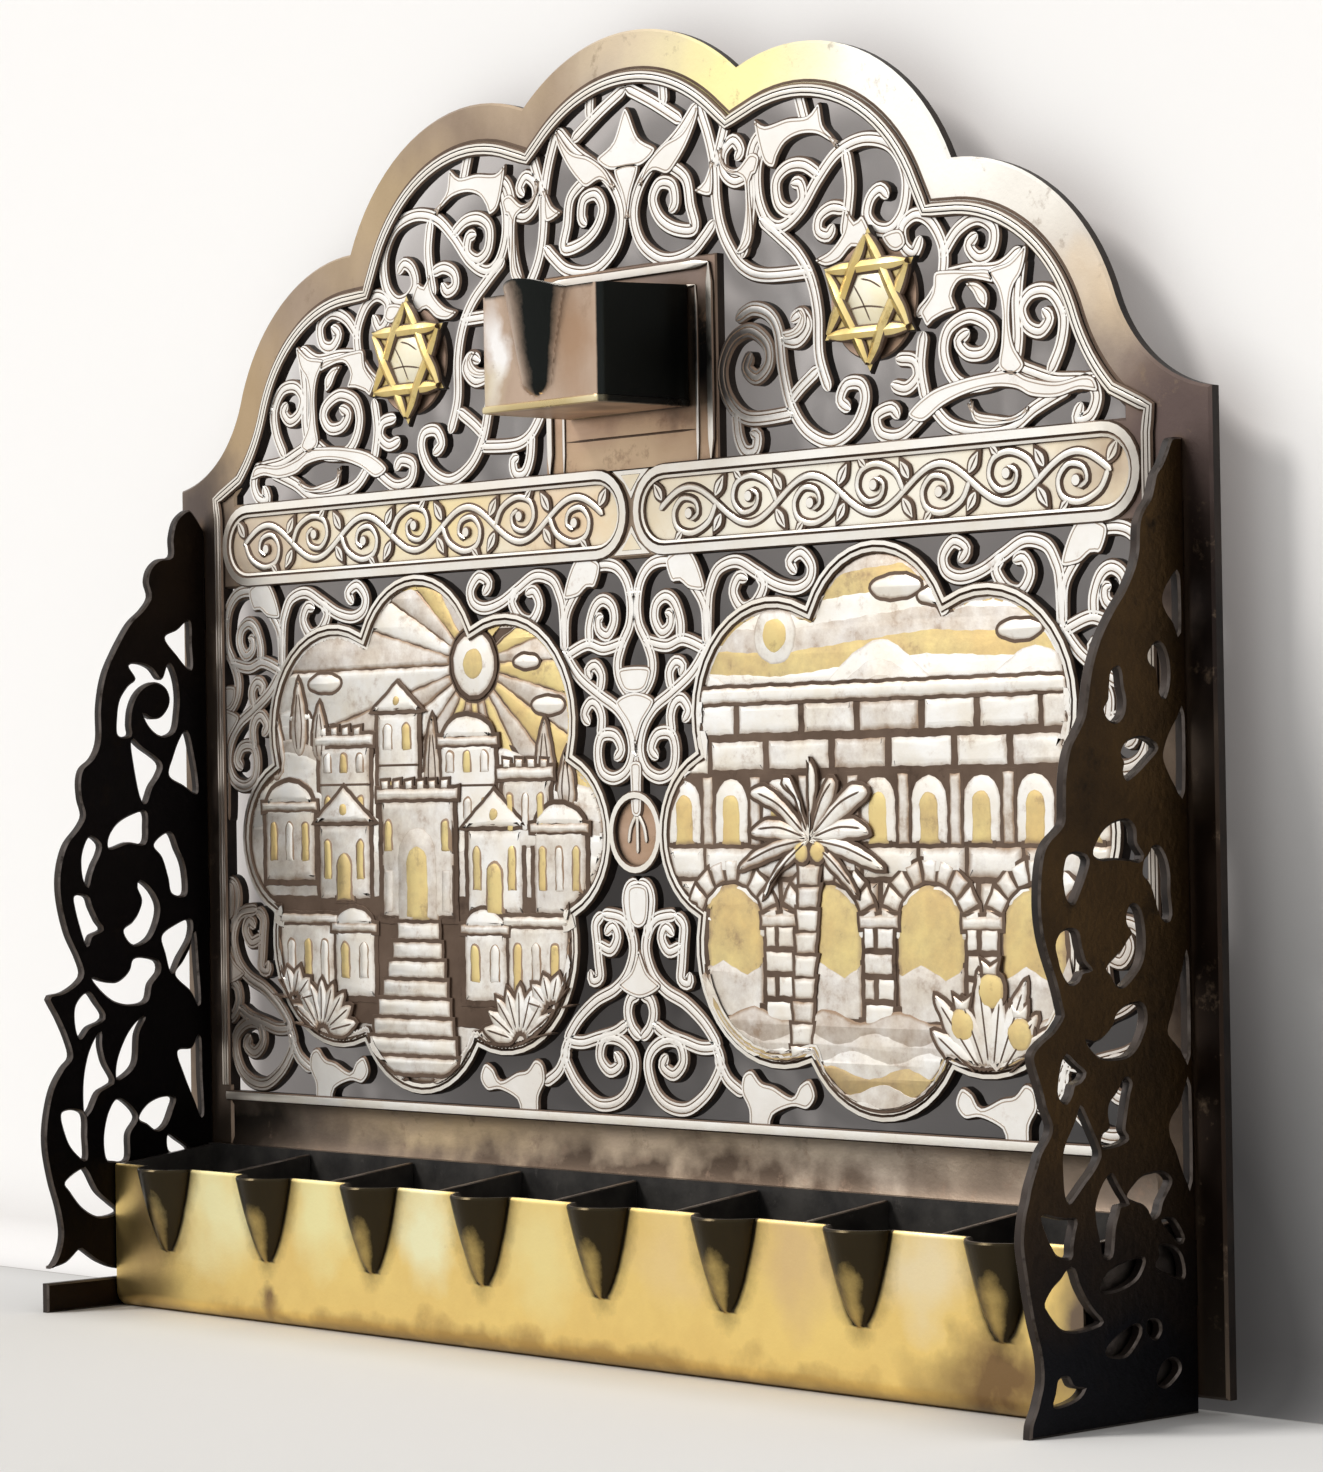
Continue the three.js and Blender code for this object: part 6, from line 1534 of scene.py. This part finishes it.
# Painted shadows on the standing sheet, in mm: behind the plate's lower middle and to the right of the
# plate, darkest low down.
WALL_SHADOWS = ((-20, 66, 98, 82, 0.8, (0.035, 0.031, 0.029)), (100, 0, 76, 148, 0.88, (0.04, 0.04, 0.04)))
SURROUND, SURROUND_SEEN, SUN, SUN_ANGLE = 0.5, 1.0, 2.2, 16
SUN_FROM = (-0.42, -0.62, 0.66)


def paper(name, colour, shade, own_light, standing):
    """Matt paper with painted shade near the object, from ambient occlusion, and painted shadows on the
    standing sheet; the standing sheet shows only from its front.
    """
    mat = bpy.data.materials.new(name)
    n = Nodes(mat)
    n.tree.nodes.remove(n.tree.nodes["Principled BSDF"])
    open_air = n.new("ShaderNodeAmbientOcclusion", (("Distance", SHADE_REACH * MM),), samples=12)
    tone = n.ramp(open_air.outputs["AO"], [(0.28, shade), (0.9, colour)])
    for x, z, reach_x, reach_z, amount, dark in WALL_SHADOWS if standing else ():
        tone = n.mix(n.blob(x, z, reach_x, reach_z, amount, False), tone, dark)
    body = n.new("ShaderNodeBsdfDiffuse", (("Color", tone),))
    path = n.new("ShaderNodeLightPath").outputs
    seen = n.either(path["Is Camera Ray"], path["Is Glossy Ray"], path["Is Transmission Ray"])
    glow = n.new("ShaderNodeEmission", (("Color", tone), ("Strength", n.math("MULTIPLY", seen, own_light))))
    shown = n.new("ShaderNodeAddShader", ((0, body.outputs["BSDF"]), (1, glow.outputs["Emission"])))
    if standing:
        hidden = n.either(path["Is Diffuse Ray"], path["Is Shadow Ray"],
                          n.new("ShaderNodeNewGeometry").outputs["Backfacing"])
        gone = n.new("ShaderNodeBsdfTransparent")
        shown = n.new("ShaderNodeMixShader", ((0, hidden), (1, shown.outputs["Shader"]),
                                              (2, gone.outputs["BSDF"])))
    n.link(shown.outputs["Shader"], n.tree.nodes["Material Output"].inputs["Surface"])
    return mat


def stage_object(name, verts, faces, mat):
    mesh = bpy.data.meshes.new(name)
    mesh.from_pydata(verts, [], faces)
    mesh.materials.append(mat)
    mesh.polygons.foreach_set("use_smooth", [True] * len(mesh.polygons))
    obj = bpy.data.objects.new(name, mesh)
    bpy.context.collection.objects.link(obj)


def make_stage():
    size = STAGE_REACH
    stage_object("floor", [(x, y, 0) for x, y in corners(-size, size, -size, size)], [(0, 1, 2, 3)],
                 paper("paper_floor", (0.80, 0.79, 0.775), (0.5, 0.48, 0.46), 0.0, False))
    at, r = WALL_AT * MM, FILLET * MM
    profile = [(at - r + r * math.sin(a), r - r * math.cos(a) + 0.0001)
               for a in [math.pi / 2 * k / 24 for k in range(25)]] + [(at, size)]
    verts = [(x, y, z) for y, z in profile for x in (-size, size)]
    faces = [(2 * k, 2 * k + 1, 2 * k + 3, 2 * k + 2) for k in range(len(profile) - 1)]
    stage_object("backdrop", verts, faces,
                 paper("paper_backdrop", (0.72, 0.71, 0.70), (0.5, 0.47, 0.46), OWN_LIGHT, True))

    world = bpy.data.worlds.new("world")
    bpy.context.scene.world = world
    n = Nodes(world)
    dim, bright = n.tree.nodes["Background"], n.new("ShaderNodeBackground")
    for light, strength in ((dim, SURROUND), (bright, SURROUND_SEEN)):
        n.fill(light, ("Color", WHITE), ("Strength", strength))
    path = n.new("ShaderNodeLightPath").outputs
    seen = n.either(path["Is Camera Ray"], path["Is Glossy Ray"], path["Is Transmission Ray"])
    blend = n.new("ShaderNodeMixShader", ((0, seen), (1, dim.outputs[0]), (2, bright.outputs[0])))
    n.link(blend.outputs[0], n.tree.nodes["World Output"].inputs["Surface"])

    lamp = bpy.data.lights.new("key", "SUN")
    lamp.energy = SUN
    lamp.angle = math.radians(SUN_ANGLE)
    lamp.color = (1.0, 0.98, 0.95)
    key = bpy.data.objects.new("key", lamp)
    key.rotation_euler = Vector(SUN_FROM).to_track_quat("Z", "Y").to_euler()
    bpy.context.collection.objects.link(key)


make_rim()
make_lines()
make_cove()
make_pads()
make_vines()
make_medallions()
make_bands()
make_stars()
make_trough()
make_cup()
make_panels()
make_stage()
